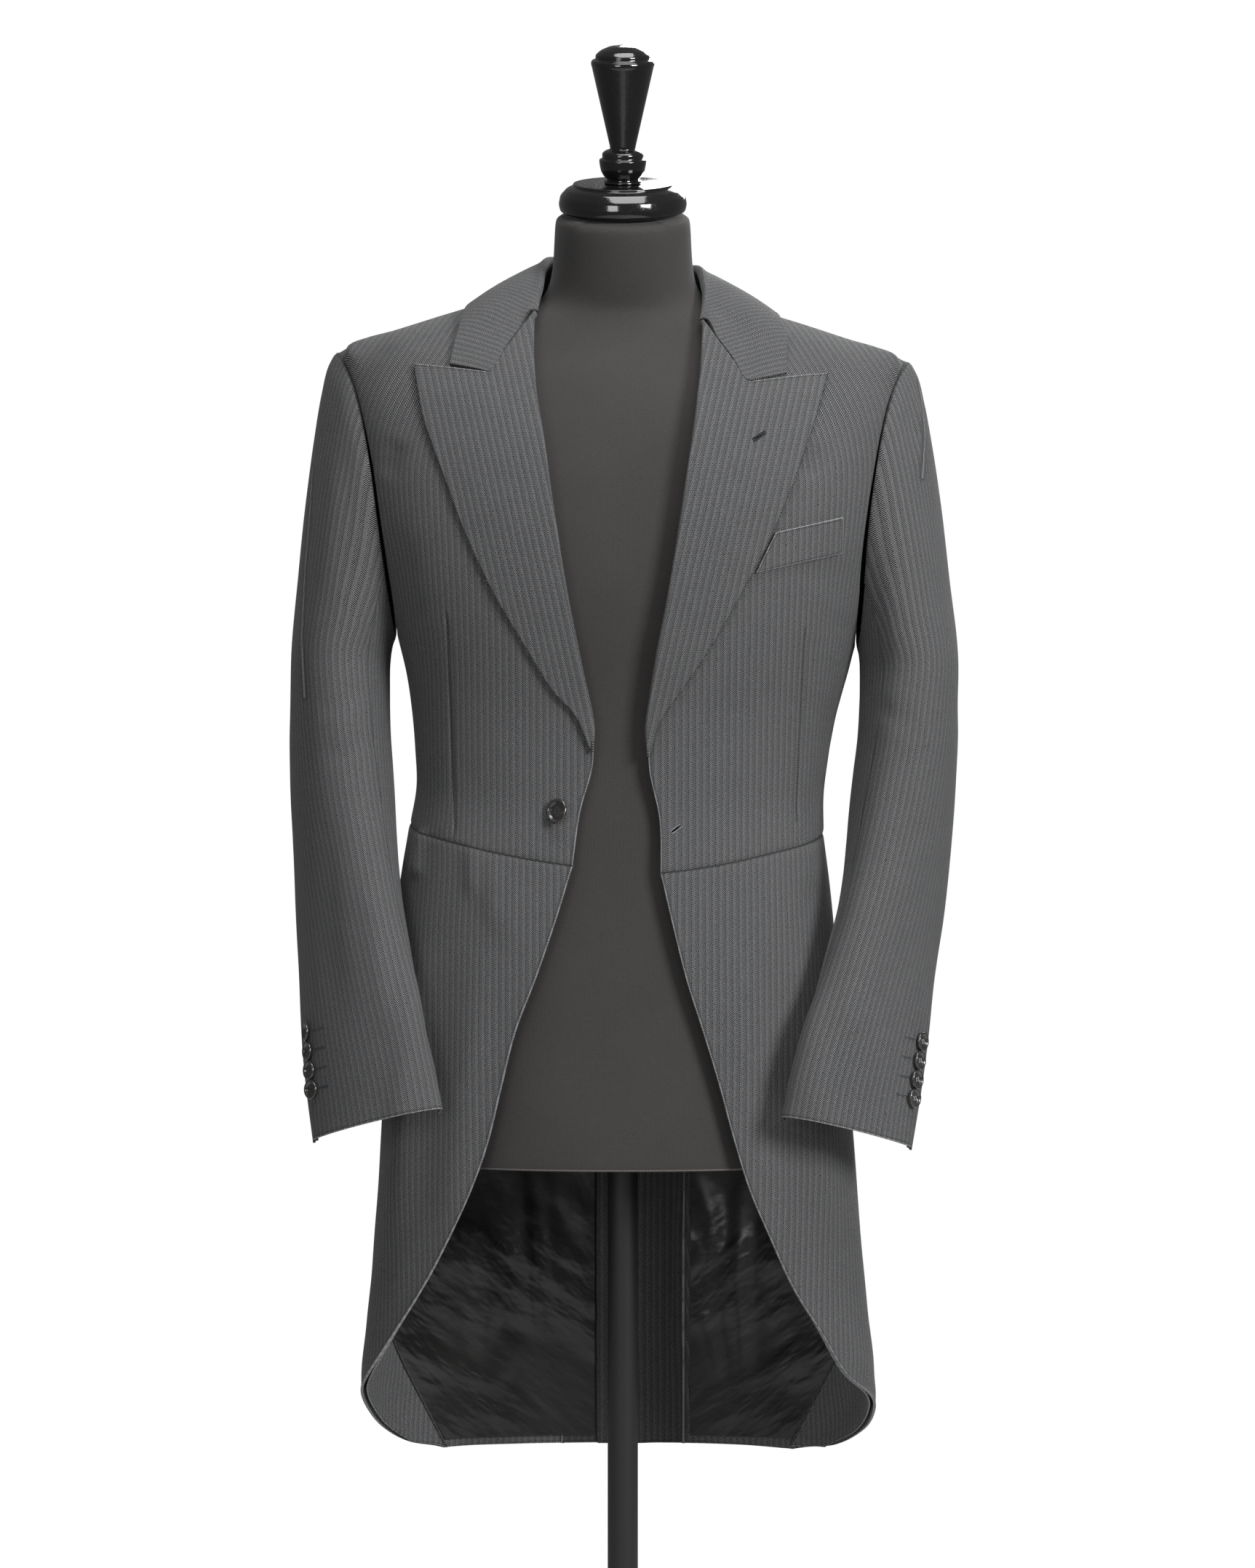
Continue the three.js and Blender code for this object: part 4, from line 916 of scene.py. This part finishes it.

# Lengths in mm: wall is the solid's own, shown is the cloth's as it shows, over and deep are how
# far a seam allowance reaches out and in. A side is turned in where it is sewn all along, and
# unless dark and pale say otherwise, sewn sides get a line of painted shade and the rest a line
# of painted highlight.
usual = {
    "wall": 2.4, "shown": 2.2, "corners": {}, "sewn": {}, "over": 0.5, "deep": 3.0, "waver": 0.0,
    "held": "hung", "restsOn": ["form_torso"], "slot": "herringbone",
}
panels = {
    "forepart": {
        "rows": 14, "step": 3.7, "grain": frontGrain, "waver": 0.5,
        "corners": {"first": [11], "last": [5]},
        "sewn": {"low": whole, "high": whole, "last": whole}, "over": 1.6,
    },
    "side_body": {"rows": 8, "step": 4.5, "grain": uprightGrain, "waver": 0.5, "sewn": everySide},
    "back": {
        "rows": 24, "step": 5.6, "grain": uprightGrain, "waver": 0.7,
        "inside": "herringboneInShade",
        "corners": {"first": [20], "last": [10, 18]},
        "sewn": {"high": whole, "last": (0.4, 1)}, "turnedIn": {"high": whole, "last": whole},
        # dark sides get a line of painted shade, the pale side a line of painted highlight
        "over": 1.2, "dark": {"high": whole, "last": whole}, "pale": {"low": whole},
    },
    "skirt": {
        "rows": 15, "step": 4.4, "grain": skirtGrain, "waver": 0.8,
        "sewn": {"high": whole}, "turnedIn": {"high": whole, "last": whole}, "over": 1.2,
    },
    "lapel": {
        "rows": 13, "step": 3.5, "grain": lapelGrain, "waver": 0.25,
        # the long edge gets a painted shadow line, the free end of the top edge a painted highlight
        "corners": {"high": [3]}, "sewn": {"high": (0, 0.52)}, "dark": {"last": whole},
        "pale": {"high": (0.53, 1)}, "turnedIn": {"high": (0, 0.5)}, "over": 6.0, "deep": 1.5,
        "held": "folded", "restsOn": ["forepart_{side}"],
    },
    "skirt_facing": {
        "rows": 13, "wall": 1.6, "shown": 1.4, "step": 6, "grain": skirtGrain,
        "sewn": {"last": whole}, "restsOn": ["skirt_{side}"],
        "inset": 2.6,      # the facing is turned back from the edge by this much
    },
    "skirt_lining": {
        "rows": 9, "wall": 1.2, "shown": 1.0, "step": 4.8, "grain": uprightGrain, "waver": 0.4,
        "slot": "lining", "restsOn": ["skirt_{side}"],
        "lower": 6.0,      # it hangs a little over the hem's turn-up
    },
    "top_sleeve": {
        "rows": 19, "step": 4.4, "grain": sleeveGrain, "waver": 0.6,
        "sewn": {"first": whole, "last": whole, "high": whole}, "over": 3.4,
        "restsOn": ["forepart_{side}"],
        "pressed": {       # the crease left by pressing, as seen from the front, with a painted highlight along it and painted shade beside it
            "right": [(-255, 1262), (-257, 1215), (-260, 1179), (-262, 1119), (-259, 1070)],
            "left": [(243, 1340), (247, 1310), (248, 1285), (245, 1250)],
        },
        "pressedWide": 0.45,
        "pressedSlant": 0.08,      # the nearer to edge on, the wider the line really is, up to this
    },
    "under_sleeve": {
        "rows": 19, "step": 5.0, "grain": sleeveGrain, "waver": 0.6,
        "sewn": {"first": whole, "last": whole, "high": whole}, "over": 3.4,
        "restsOn": ["side_body_{side}"],
        "lift": {"by": 8.0, "fades": 60.0, "skew": 0.7},    # the cuff's hind hem rides up
    },
    "collar": {
        "rows": 24, "step": 4.0, "grain": collarGrain, "waver": 0.2,
        "corners": {"low": [7], "high": [7]},
        # dark spans get a line of painted shade, pale ones a line of painted highlight
        "dark": {"low": (0.4, 0.74), "high": (0.4, 0.74)},
        "pale": {"last": whole, "low": (0.76, 1), "high": (0.76, 1)},
        "held": "folded", "restsOn": ["back_right", "back_left"],
    },
    "breast_welt": {
        "rows": 3, "wall": 1.9, "shown": 1.7, "step": 3, "grain": frontGrain,
        "restsOn": ["forepart_left"],
    },
}
surfaces = {}


# The size that a panel is cut to: its solid's own width, length and area laid flat, in m.
def flatCut(grid):
    diagonal = grid[1:, 1:] - grid[:-1, :-1]
    other = grid[1:, :-1] - grid[:-1, 1:]
    area = np.linalg.norm(np.cross(diagonal, other), axis=-1).sum() / 2 * mm**2
    width = lengthAlong(grid, 1)[:, -1].max() * mm
    length = lengthAlong(grid, 0)[-1].max() * mm
    return width, length, min(area, width * length)


# Pushes the first row of points out past the second by so many mm, or in where it is less than 0.
def pushRow(rim, inner, by):
    out = rim - inner
    rim += out / lengthsOf(out) * by


# The seams' and edges' distances, with the dart and the pressed crease among them, which place the lines
# of painted shade and painted highlight.
def edgeLines(kind, look, side, points, normals):
    dark = look.get("dark", look["sewn"])
    pale = look.get("pale", {end: whole for end in everySide if end not in look["sewn"]})
    seam, edge = awayFrom(points, dark), awayFrom(points, pale)
    seen = points[..., [0, 2]]
    if kind == "forepart":
        seam = np.minimum(seam, fromPath(seen, darts[side])[0] * darts["shade"])
    # The pressed crease gets a painted highlight line where light catches its ridge.
    if "pressed" in look:
        slant = np.maximum(-normals[..., 1], look["pressedSlant"])
        line = fromPath(seen, look["pressed"][side])[0] / slant
        line = np.where(normals[..., 1] < 0, line, farOff)
        edge = np.minimum(edge, line * look["pressedWide"])
    return seam, edge


def layPanel(kind, side=None):
    look = {**usual, **panels[kind]}
    name = f"{kind}_{side}" if side else kind
    grid, facing = panelGrid(name, look["wall"], look["rows"])
    pushRow(grid[0], grid[1], look.get("lower", 0))
    pushRow(grid[:, 0], grid[:, 1], -look.get("inset", 0))
    width, length, area = flatCut(grid)
    seamAt = alongDart(side) if kind == "forepart" else None
    points = fineGrid(grid, look["step"], look["corners"], seamAt)
    normals = normalsOf(points, facing)
    depth = sewnDip(points, look["sewn"]) + wavering(points, look["waver"], len(surfaces))
    groups = [group for group in creases if kind in group["on"]]
    if kind == "forepart":
        rows = [(darts["wide"], darts["deep"], darts[side])]
        groups.append({"view": "front", "ends": darts["ends"], "rows": rows})
    for group in groups:
        depth += creased(points, normals, group)
    points = points - normals * depth[..., None]
    if "lift" in look:
        share = sharesOf(points, "low")
        near = eased(1 - lengthAlong(points, 0) / look["lift"]["fades"])
        points[..., 2] += look["lift"]["by"] * near * np.sin(share ** look["lift"]["skew"] * math.pi)
    if kind == "lapel":
        points = rolledUnder(points, normalsOf(points, facing))
    normals = normalsOf(points, facing)
    surfaces[name] = (points, normals)
    sewnWhole = {end: span for end, span in look["sewn"].items() if span == whole}
    turnedIn = look.get("turnedIn", sewnWhole)
    tucked = [int(end in turnedIn) for end in everySide]
    pads = (tucked[:2], tucked[2:])
    lines = edgeLines(kind, look, side, points, normals)
    away = {border: np.pad(line, pads, mode="edge") for border, line in zip(borders, lines)}
    points, normals = withAllowance(points, normals, turnedIn, look["over"], look["deep"])
    grain = look["grain"](points, sides.get(side, 1.0))
    obj = clothMesh(name + "_cloth", points, normals, grain, look["shown"], away)
    obj.data.materials.append(materials[look["slot"]])
    # The inner wall gets the darker cloth, as painted shade.
    if "inside" in look:
        obj.data.materials.append(materials[look["inside"]])
        obj.modifiers["wall"].material_offset = 1
    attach(obj, "root")
    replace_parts(obj, name)


for kind in panels:
    for side in ((None,) if kind in ("collar", "breast_welt") else sides):
        layPanel(kind, side)
    print("cloth laid:", kind)


def finished(bm, name, look, smooth=math.radians(40)):
    obj = newObject(bm, name)
    obj.data.shade_smooth()
    if smooth is not None:
        obj.data.set_sharp_from_angle(angle=smooth)
    obj.data.materials.append(materials[look])
    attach(obj, "root")
    return obj


# A turned shape from (radius, height) pairs, closed where the radius is 0.
def turned(profile, steps, turn=Matrix()):
    bm = bmesh.new()
    verts = [bm.verts.new((r * mm, 0, h * mm)) for r, h in profile]
    edges = [bm.edges.new(pair) for pair in zip(verts, verts[1:])]
    bmesh.ops.spin(bm, geom=verts + edges, cent=(0, 0, 0), axis=(0, 0, 1), steps=steps,
                   angle=math.tau, use_merge=True)
    bmesh.ops.remove_doubles(bm, verts=bm.verts, dist=1e-6)
    bmesh.ops.recalc_face_normals(bm, faces=bm.faces)
    bm.transform(turn)
    return bm


arcs = {"parts": 3, "most": 0.45}     # most is the share of an edge that one arc may take


# Rounds the inner corners of a profile with short arcs.
def softened(profile, radius):
    soft = [profile[0]]
    parts = arcs["parts"]
    for corners in zip(profile, profile[1:], profile[2:]):
        a, c, b = (Vector(p) for p in corners)
        cut = min(radius, (a - c).length * arcs["most"], (b - c).length * arcs["most"])
        start = c + (a - c).normalized() * cut
        end = c + (b - c).normalized() * cut
        for n in range(parts + 1):
            t = n / parts
            soft.append(tuple(start * (1 - t) ** 2 + c * 2 * t * (1 - t) + end * t * t))
    soft.append(profile[-1])
    return soft


capRing = [
    (0, 0), (46, 0), (51.5, 2.5), (52.8, 8), (51.5, 15),
    (46.5, 20.5), (42.5, 22.4), (41, 22.8), (41, 25), (0, 25),
]
handle = [
    (0, 0), (15.5, 0), (15.5, 2), (12.6, 2.8), (15.4, 5.5), (18, 10), (19, 15), (19.3, 18), (19.3, 19.5),
    (16.8, 20.3), (17, 24.6), (14.6, 26.6), (10.4, 28), (10.6, 30), (25.4, 95.5), (26.1, 97.5),
    (25.6, 100.5), (22.2, 101.4), (22.4, 104.8), (18, 108.6), (11, 111.6), (0, 113.2),
]
handleLift = 25.3
neck = Matrix.Translation((0, -14.2 * mm, 1469.8 * mm)) @ Matrix.Rotation(math.radians(15), 4, "X")
pole = {"radius": 12.5, "foot": 34.3, "top": 686.2, "plate": 29.5, "plateThick": 4}
base = [(0, 0), (188, 0), (190, 2), (190, 6), (186, 9), (60, 13), (26, 17), (23, 34), (0, 34)]
underPlate = pole["top"] - pole["plateThick"]
poleShape = [
    (0, pole["foot"]), (pole["radius"], pole["foot"]), (pole["radius"], underPlate),
    (pole["plate"], underPlate), (pole["plate"], pole["top"]), (0, pole["top"]),
]
upright = Matrix()
lifted = neck @ Matrix.Translation((0, 0, handleLift * mm))
turnedPieces = {
    "neck_cap": (softened(capRing, 1.6), 96, neck, "lacquered_wood"),
    "neck_handle": (softened(handle, 1.4), 96, lifted, "lacquered_wood"),
    "stand_pole": (softened(poleShape, 0.8), 64, upright, "black_steel"),
    "stand_base": (softened(base, 1.5), 128, upright, "black_steel"),
}
for name, (profile, steps, turn, look) in turnedPieces.items():
    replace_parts(finished(turned(profile, steps, turn), name + "_turned", look), name)
print("cap, handle, pole and base turned")


form = {
    "flat": math.radians(0.5),         # faces closer than this are made one
    "join": math.radians(60),
    "joinShape": math.radians(120),
    "rimFrom": math.radians(50),
    "round": 4.0,
    "levels": 2,
}


def padForm():
    bm = mergedSolid("form_torso")
    bmesh.ops.dissolve_limit(bm, angle_limit=form["flat"], verts=bm.verts, edges=bm.edges)
    bmesh.ops.join_triangles(bm, faces=bm.faces, angle_face_threshold=form["join"],
                             angle_shape_threshold=form["joinShape"])
    shared = [e for e in bm.edges if len(e.link_faces) == 2]
    rims = [e for e in shared if e.calc_face_angle() > form["rimFrom"]]
    bmesh.ops.bevel(bm, geom=rims, offset=form["round"] * mm, segments=2, profile=0.5,
                    affect="EDGES", material=-1)
    obj = finished(bm, "form_torso_jersey", "jersey", None)
    soft = obj.modifiers.new("soft", "SUBSURF")
    soft.levels = form["levels"]
    soft.render_levels = form["levels"]
    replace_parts(obj, "form_torso")
    return obj


padForm()
print("form padded")


# Radius and height as shares of the button's own, from the middle of its face to its back.
buttonFace = [
    (0, 0.62), (0.3, 0.61), (0.5, 0.56), (0.555, 0.47), (0.59, 0.44), (0.625, 0.5),
    (0.67, 0.68), (0.74, 0.88), (0.82, 0.98), (0.88, 1.0), (0.94, 0.94), (0.985, 0.8),
    (1.0, 0.62), (0.985, 0.42), (0.9, 0.2), (0.7, 0.05), (0.4, 0), (0, 0),
]
buttonTurned = {"steps": 48, "sharp": math.radians(35)}
buttonHoles = {"radius": 0.09, "out": 0.165, "sides": 14}     # as shares of the button's radius
buttonKinds = {
    "front": {"gap": 7.0, "spin": 8},      # mm between button and cloth, and degrees off upright
    "back": {"gap": 3.0, "spin": -6},
    "cuff": {"gap": 2.2, "spin": 4},
}
sewnOn = {
    "knot": 0.95,             # as a share of a hole's radius
    "knotFlat": 0.6,
    "knotSunk": 0.1 * mm,
    "bar": 0.62,
    "barFlat": 0.6,
    "barRaised": 0.12 * mm,
    "stem": 1.1 * mm,
    "stemTaper": 0.9,
    "stemInside": 0.2 * mm,   # how far it reaches into button and cloth
}


# Where a button lies: the middle of its back, the way it faces, its radius and its thickness.
def buttonPlace(name):
    bm = mergedSolid(name)
    facing = {}
    for face in bm.faces:
        key = tuple(round(c, 1) for c in face.normal)
        facing[key] = facing.get(key, Vector()) + face.normal * face.calc_area()
    axis = max(facing.values(), key=lambda total: total.length).normalized()
    centre = sum((v.co for v in bm.verts), Vector()) / len(bm.verts)
    if axis.dot(centre - Vector((0, 0, centre.z))) < 0:
        axis = -axis
    heights = [(v.co - centre).dot(axis) for v in bm.verts]
    radius = max(((v.co - centre) - axis * (v.co - centre).dot(axis)).length for v in bm.verts)
    bm.free()
    return centre + axis * min(heights), axis, radius, max(heights) - min(heights)


# Z along the axis, with the button's own up as near to upright as it can be.
def standing(place, axis, spin=0.0):
    side = Vector((0, 0, 1)).cross(axis).normalized()
    turn = Matrix((side, axis.cross(side), axis)).transposed().to_4x4()
    return Matrix.Translation(place) @ turn @ Matrix.Rotation(spin, 4, "Z")


def ball(bm, u, v, radius, matrix):
    bmesh.ops.create_uvsphere(bm, u_segments=u, v_segments=v, radius=radius, matrix=matrix)


def rod(bm, sides, radius, length, matrix, taper=1.0):
    bmesh.ops.create_cone(bm, cap_ends=True, segments=sides, radius1=radius, radius2=radius * taper,
                          depth=length, matrix=matrix)


def drilled(bm, radius, thick):
    drill = bmesh.new()
    away = Matrix.Translation((buttonHoles["out"] * radius * math.sqrt(2), 0, thick / 2))
    for turn in range(4):
        place = Matrix.Rotation(math.radians(45 + 90 * turn), 4, "Z") @ away
        rod(drill, buttonHoles["sides"], buttonHoles["radius"] * radius, thick * 2, place)
    blank, bits = newObject(bm, "blank"), newObject(drill, "bits")
    cut = blank.modifiers.new("holes", "BOOLEAN")
    cut.operation = "DIFFERENCE"
    cut.object = bits
    shape = bmesh.new()
    shape.from_object(blank, bpy.context.evaluated_depsgraph_get())
    for obj in (blank, bits):
        bpy.data.objects.remove(obj)
    return shape


# Thread through the four holes, and the shank under the button.
def sewing(radius, thick, gap):
    bm = bmesh.new()
    dish = buttonFace[1][1] * thick
    out = buttonHoles["out"] * radius
    hole = buttonHoles["radius"] * radius
    for x in (-out, out):
        for y in (-out, out):
            knot = Matrix.Translation((x, y, dish - sewnOn["knotSunk"]))
            ball(bm, 10, 6, hole * sewnOn["knot"], knot @ Matrix.Diagonal((1, 1, sewnOn["knotFlat"], 1)))
        bar = Matrix.Translation((x, 0, dish + sewnOn["barRaised"]))
        bar = bar @ Matrix.Rotation(math.pi / 2, 4, "X") @ Matrix.Diagonal((1, sewnOn["barFlat"], 1, 1))
        rod(bm, 8, hole * sewnOn["bar"], out * 2, bar)
    stem = Matrix.Translation((0, 0, sewnOn["stemInside"] - gap / 2))
    rod(bm, 12, sewnOn["stem"], gap + 2 * sewnOn["stemInside"], stem, sewnOn["stemTaper"])
    return bm


def sewButton(name):
    place, axis, radius, thick = buttonPlace(name)
    kind = buttonKinds[name.split("_")[0]]
    profile = [(r * radius / mm, h * thick / mm) for r, h in buttonFace]
    at = standing(place, axis, math.radians(kind["spin"]))
    shape = drilled(turned(profile, buttonTurned["steps"]), radius, thick)
    shape.transform(at)
    disc = finished(shape, name + "_turned", "button", buttonTurned["sharp"])
    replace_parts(disc, name)
    thread = sewing(radius, thick, kind["gap"] * mm)
    thread.transform(at)
    pale = name.startswith("cuff_button_left")
    finished(thread, name + "_thread", "thread" if pale else "darkThread")


for node in sorted(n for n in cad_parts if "button" in n):
    sewButton(node)
print("buttons sewn on")


turnedToFront = -0.05     # the Y of a normal below which cloth is seen from the front


# The point on a panel that is seen from the front at (x, z), in mm, and which way it faces.
def onPanel(name, x, z):
    points, normals = surfaces[name]
    seen = normals[..., 1] < turnedToFront
    away = np.where(seen, (points[..., 0] - x) ** 2 + (points[..., 2] - z) ** 2, 1e9)
    at = np.unravel_index(away.argmin(), away.shape)
    near, facing = points[at], normals[at]
    y = near[1] - (facing[0] * (x - near[0]) + facing[2] * (z - near[2])) / facing[1]
    return Vector((x, y, z)) * mm, Vector(facing)


buttonholes = {
    "front_buttonhole": {
        "on": "forepart_left", "path": [(39, 961), (46.5, 966.5)], "slit": 0.75, "look": "thread",
        "every": 0.62, "wide": 1.1, "lift": 0.25,
    },
    "lapel_buttonhole": {
        "on": "lapel_left", "path": [(104.7, 1275.5), (114.7, 1282.6)], "slit": 0.4,
        "look": "darkThread", "every": 0.6, "wide": 1.3, "lift": 0.25,
    },
}
mockHole = {"slit": 0.2, "look": "darkThread", "every": 1.05, "wide": 0.7, "lift": 0.12}
mockPath = {"starts": 5.5, "long": 8.5, "rise": 0.3}
stitch = {"long": 0.46, "wide": 0.62, "high": 0.3 * mm}
openSlit = {"from": 0.3, "raised": 0.1 * mm, "high": 0.2 * mm}     # narrower ones stay closed
for side in sides:
    for n in range(1, 5):
        middle = buttonPlace(f"cuff_button_{side}_{n}")[0] / mm
        reach = (mockPath["starts"], mockPath["starts"] + mockPath["long"])
        path = [(middle.x - sides[side] * r, middle.z + r * mockPath["rise"]) for r in reach]
        place = {"on": f"top_sleeve_{side}", "path": path}
        buttonholes[f"cuff_buttonhole_{side}_{n}"] = {**mockHole, **place}


# Small stitches side by side over a slit.
def stitchedHole(name, hole):
    (x0, z0), (x1, z1) = hole["path"]
    run = math.hypot(x1 - x0, z1 - z0)
    bm = bmesh.new()
    count = max(2, round(run / hole["every"]))
    long, wide = hole["every"] * stitch["long"], hole["wide"] * stitch["wide"]
    size = (long * mm, wide * mm, stitch["high"], 1)
    for n in range(count + 1):
        t = n / count
        place, facing = onPanel(hole["on"], x0 + (x1 - x0) * t, z0 + (z1 - z0) * t)
        along = Vector((x1 - x0, 0, z1 - z0)).normalized()
        along = (along - facing * along.dot(facing)).normalized()
        across = facing.cross(along)
        turn = Matrix((along, across, facing)).transposed().to_4x4()
        for side in (-1, 1):
            shift = across * side * (hole["slit"] + hole["wide"] * 0.5) * mm
            at = Matrix.Translation(place + shift + facing * hole["lift"] * mm) @ turn
            ball(bm, 8, 5, 1.0, at @ Matrix.Diagonal(size))
    finished(bm, name, hole["look"])
    if hole["slit"] < openSlit["from"]:
        return
    # Wider slits get a dark lens over their middle: painted shade for the opening.
    middle, facing = onPanel(hole["on"], (x0 + x1) / 2, (z0 + z1) / 2)
    at = Matrix.Translation(middle + facing * openSlit["raised"]) @ turn
    size = (run * 0.5 * mm, hole["slit"] * mm, openSlit["high"], 1)
    slit = bmesh.new()
    ball(slit, 24, 8, 1.0, at @ Matrix.Diagonal(size))
    finished(slit, name + "_slit_shade", "slitShade")


for name, hole in buttonholes.items():
    stitchedHole(name, hole)
print("buttonholes worked:", len(buttonholes))


camera = {"away": 4.0, "height": 1.0, "across": 0.0039, "lens": 111.1, "sensor": 36.0}
floor = {"radius": 1.5, "sides": 96, "colour": 0.62, "roughness": 0.9}
studio = {"backdrop": 1.0, "around": 0.13}
lightsAim = (0, 0, 1.05)
lights = {
    "key": {"at": (2.5, -2.9, 2.2), "power": 132.0, "size": 1.2},
    "fill": {"at": (-1.2, -3.8, 1.4), "power": 30.0, "size": 1.2},
    "behind": {"at": (0.9, 3.3, 3.1), "power": 80.0, "size": 1.8},
    "over": {"at": (0.2, -0.9, 3.4), "power": 46.0, "size": 1.6},
}


def openStudio():
    scene = bpy.context.scene
    lens = bpy.data.cameras.new("camera")
    lens.lens = camera["lens"]
    lens.sensor_width = camera["sensor"]
    eye = bpy.data.objects.new("camera", lens)
    eye.location = (camera["across"], -camera["away"], camera["height"])
    eye.rotation_euler = (math.pi / 2, 0, 0)
    bpy.context.collection.objects.link(eye)
    scene.camera = eye
    world = bpy.data.worlds.new("studio")
    world.use_nodes = True
    scene.world = world
    tree = world.node_tree
    white = tree.nodes["Background"]
    white.inputs[0].default_value = grey(1.0)
    seen = Wire(tree).node("ShaderNodeLightPath")
    strength = seen * (studio["backdrop"] - studio["around"]) + studio["around"]
    tree.links.new(strength.socket, white.inputs[1])
    scene.view_settings.view_transform = "Standard"
    for name, look in lights.items():
        lamp = bpy.data.lights.new(name, "AREA")
        lamp.energy = look["power"]
        lamp.size = look["size"]
        shine = bpy.data.objects.new(name, lamp)
        shine.location = look["at"]
        aim = Vector(lightsAim) - shine.location
        shine.rotation_euler = aim.to_track_quat("-Z", "Y").to_euler()
        bpy.context.collection.objects.link(shine)
    bm = bmesh.new()
    bmesh.ops.create_circle(bm, cap_ends=True, segments=floor["sides"], radius=floor["radius"])
    ground = newObject(bm, "floor")
    steady = {"Base Color": grey(floor["colour"]), "Roughness": floor["roughness"]}
    ground.data.materials.append(newMaterial("paleFloor", lambda wire: {}, steady))


openStudio()
print("studio set")
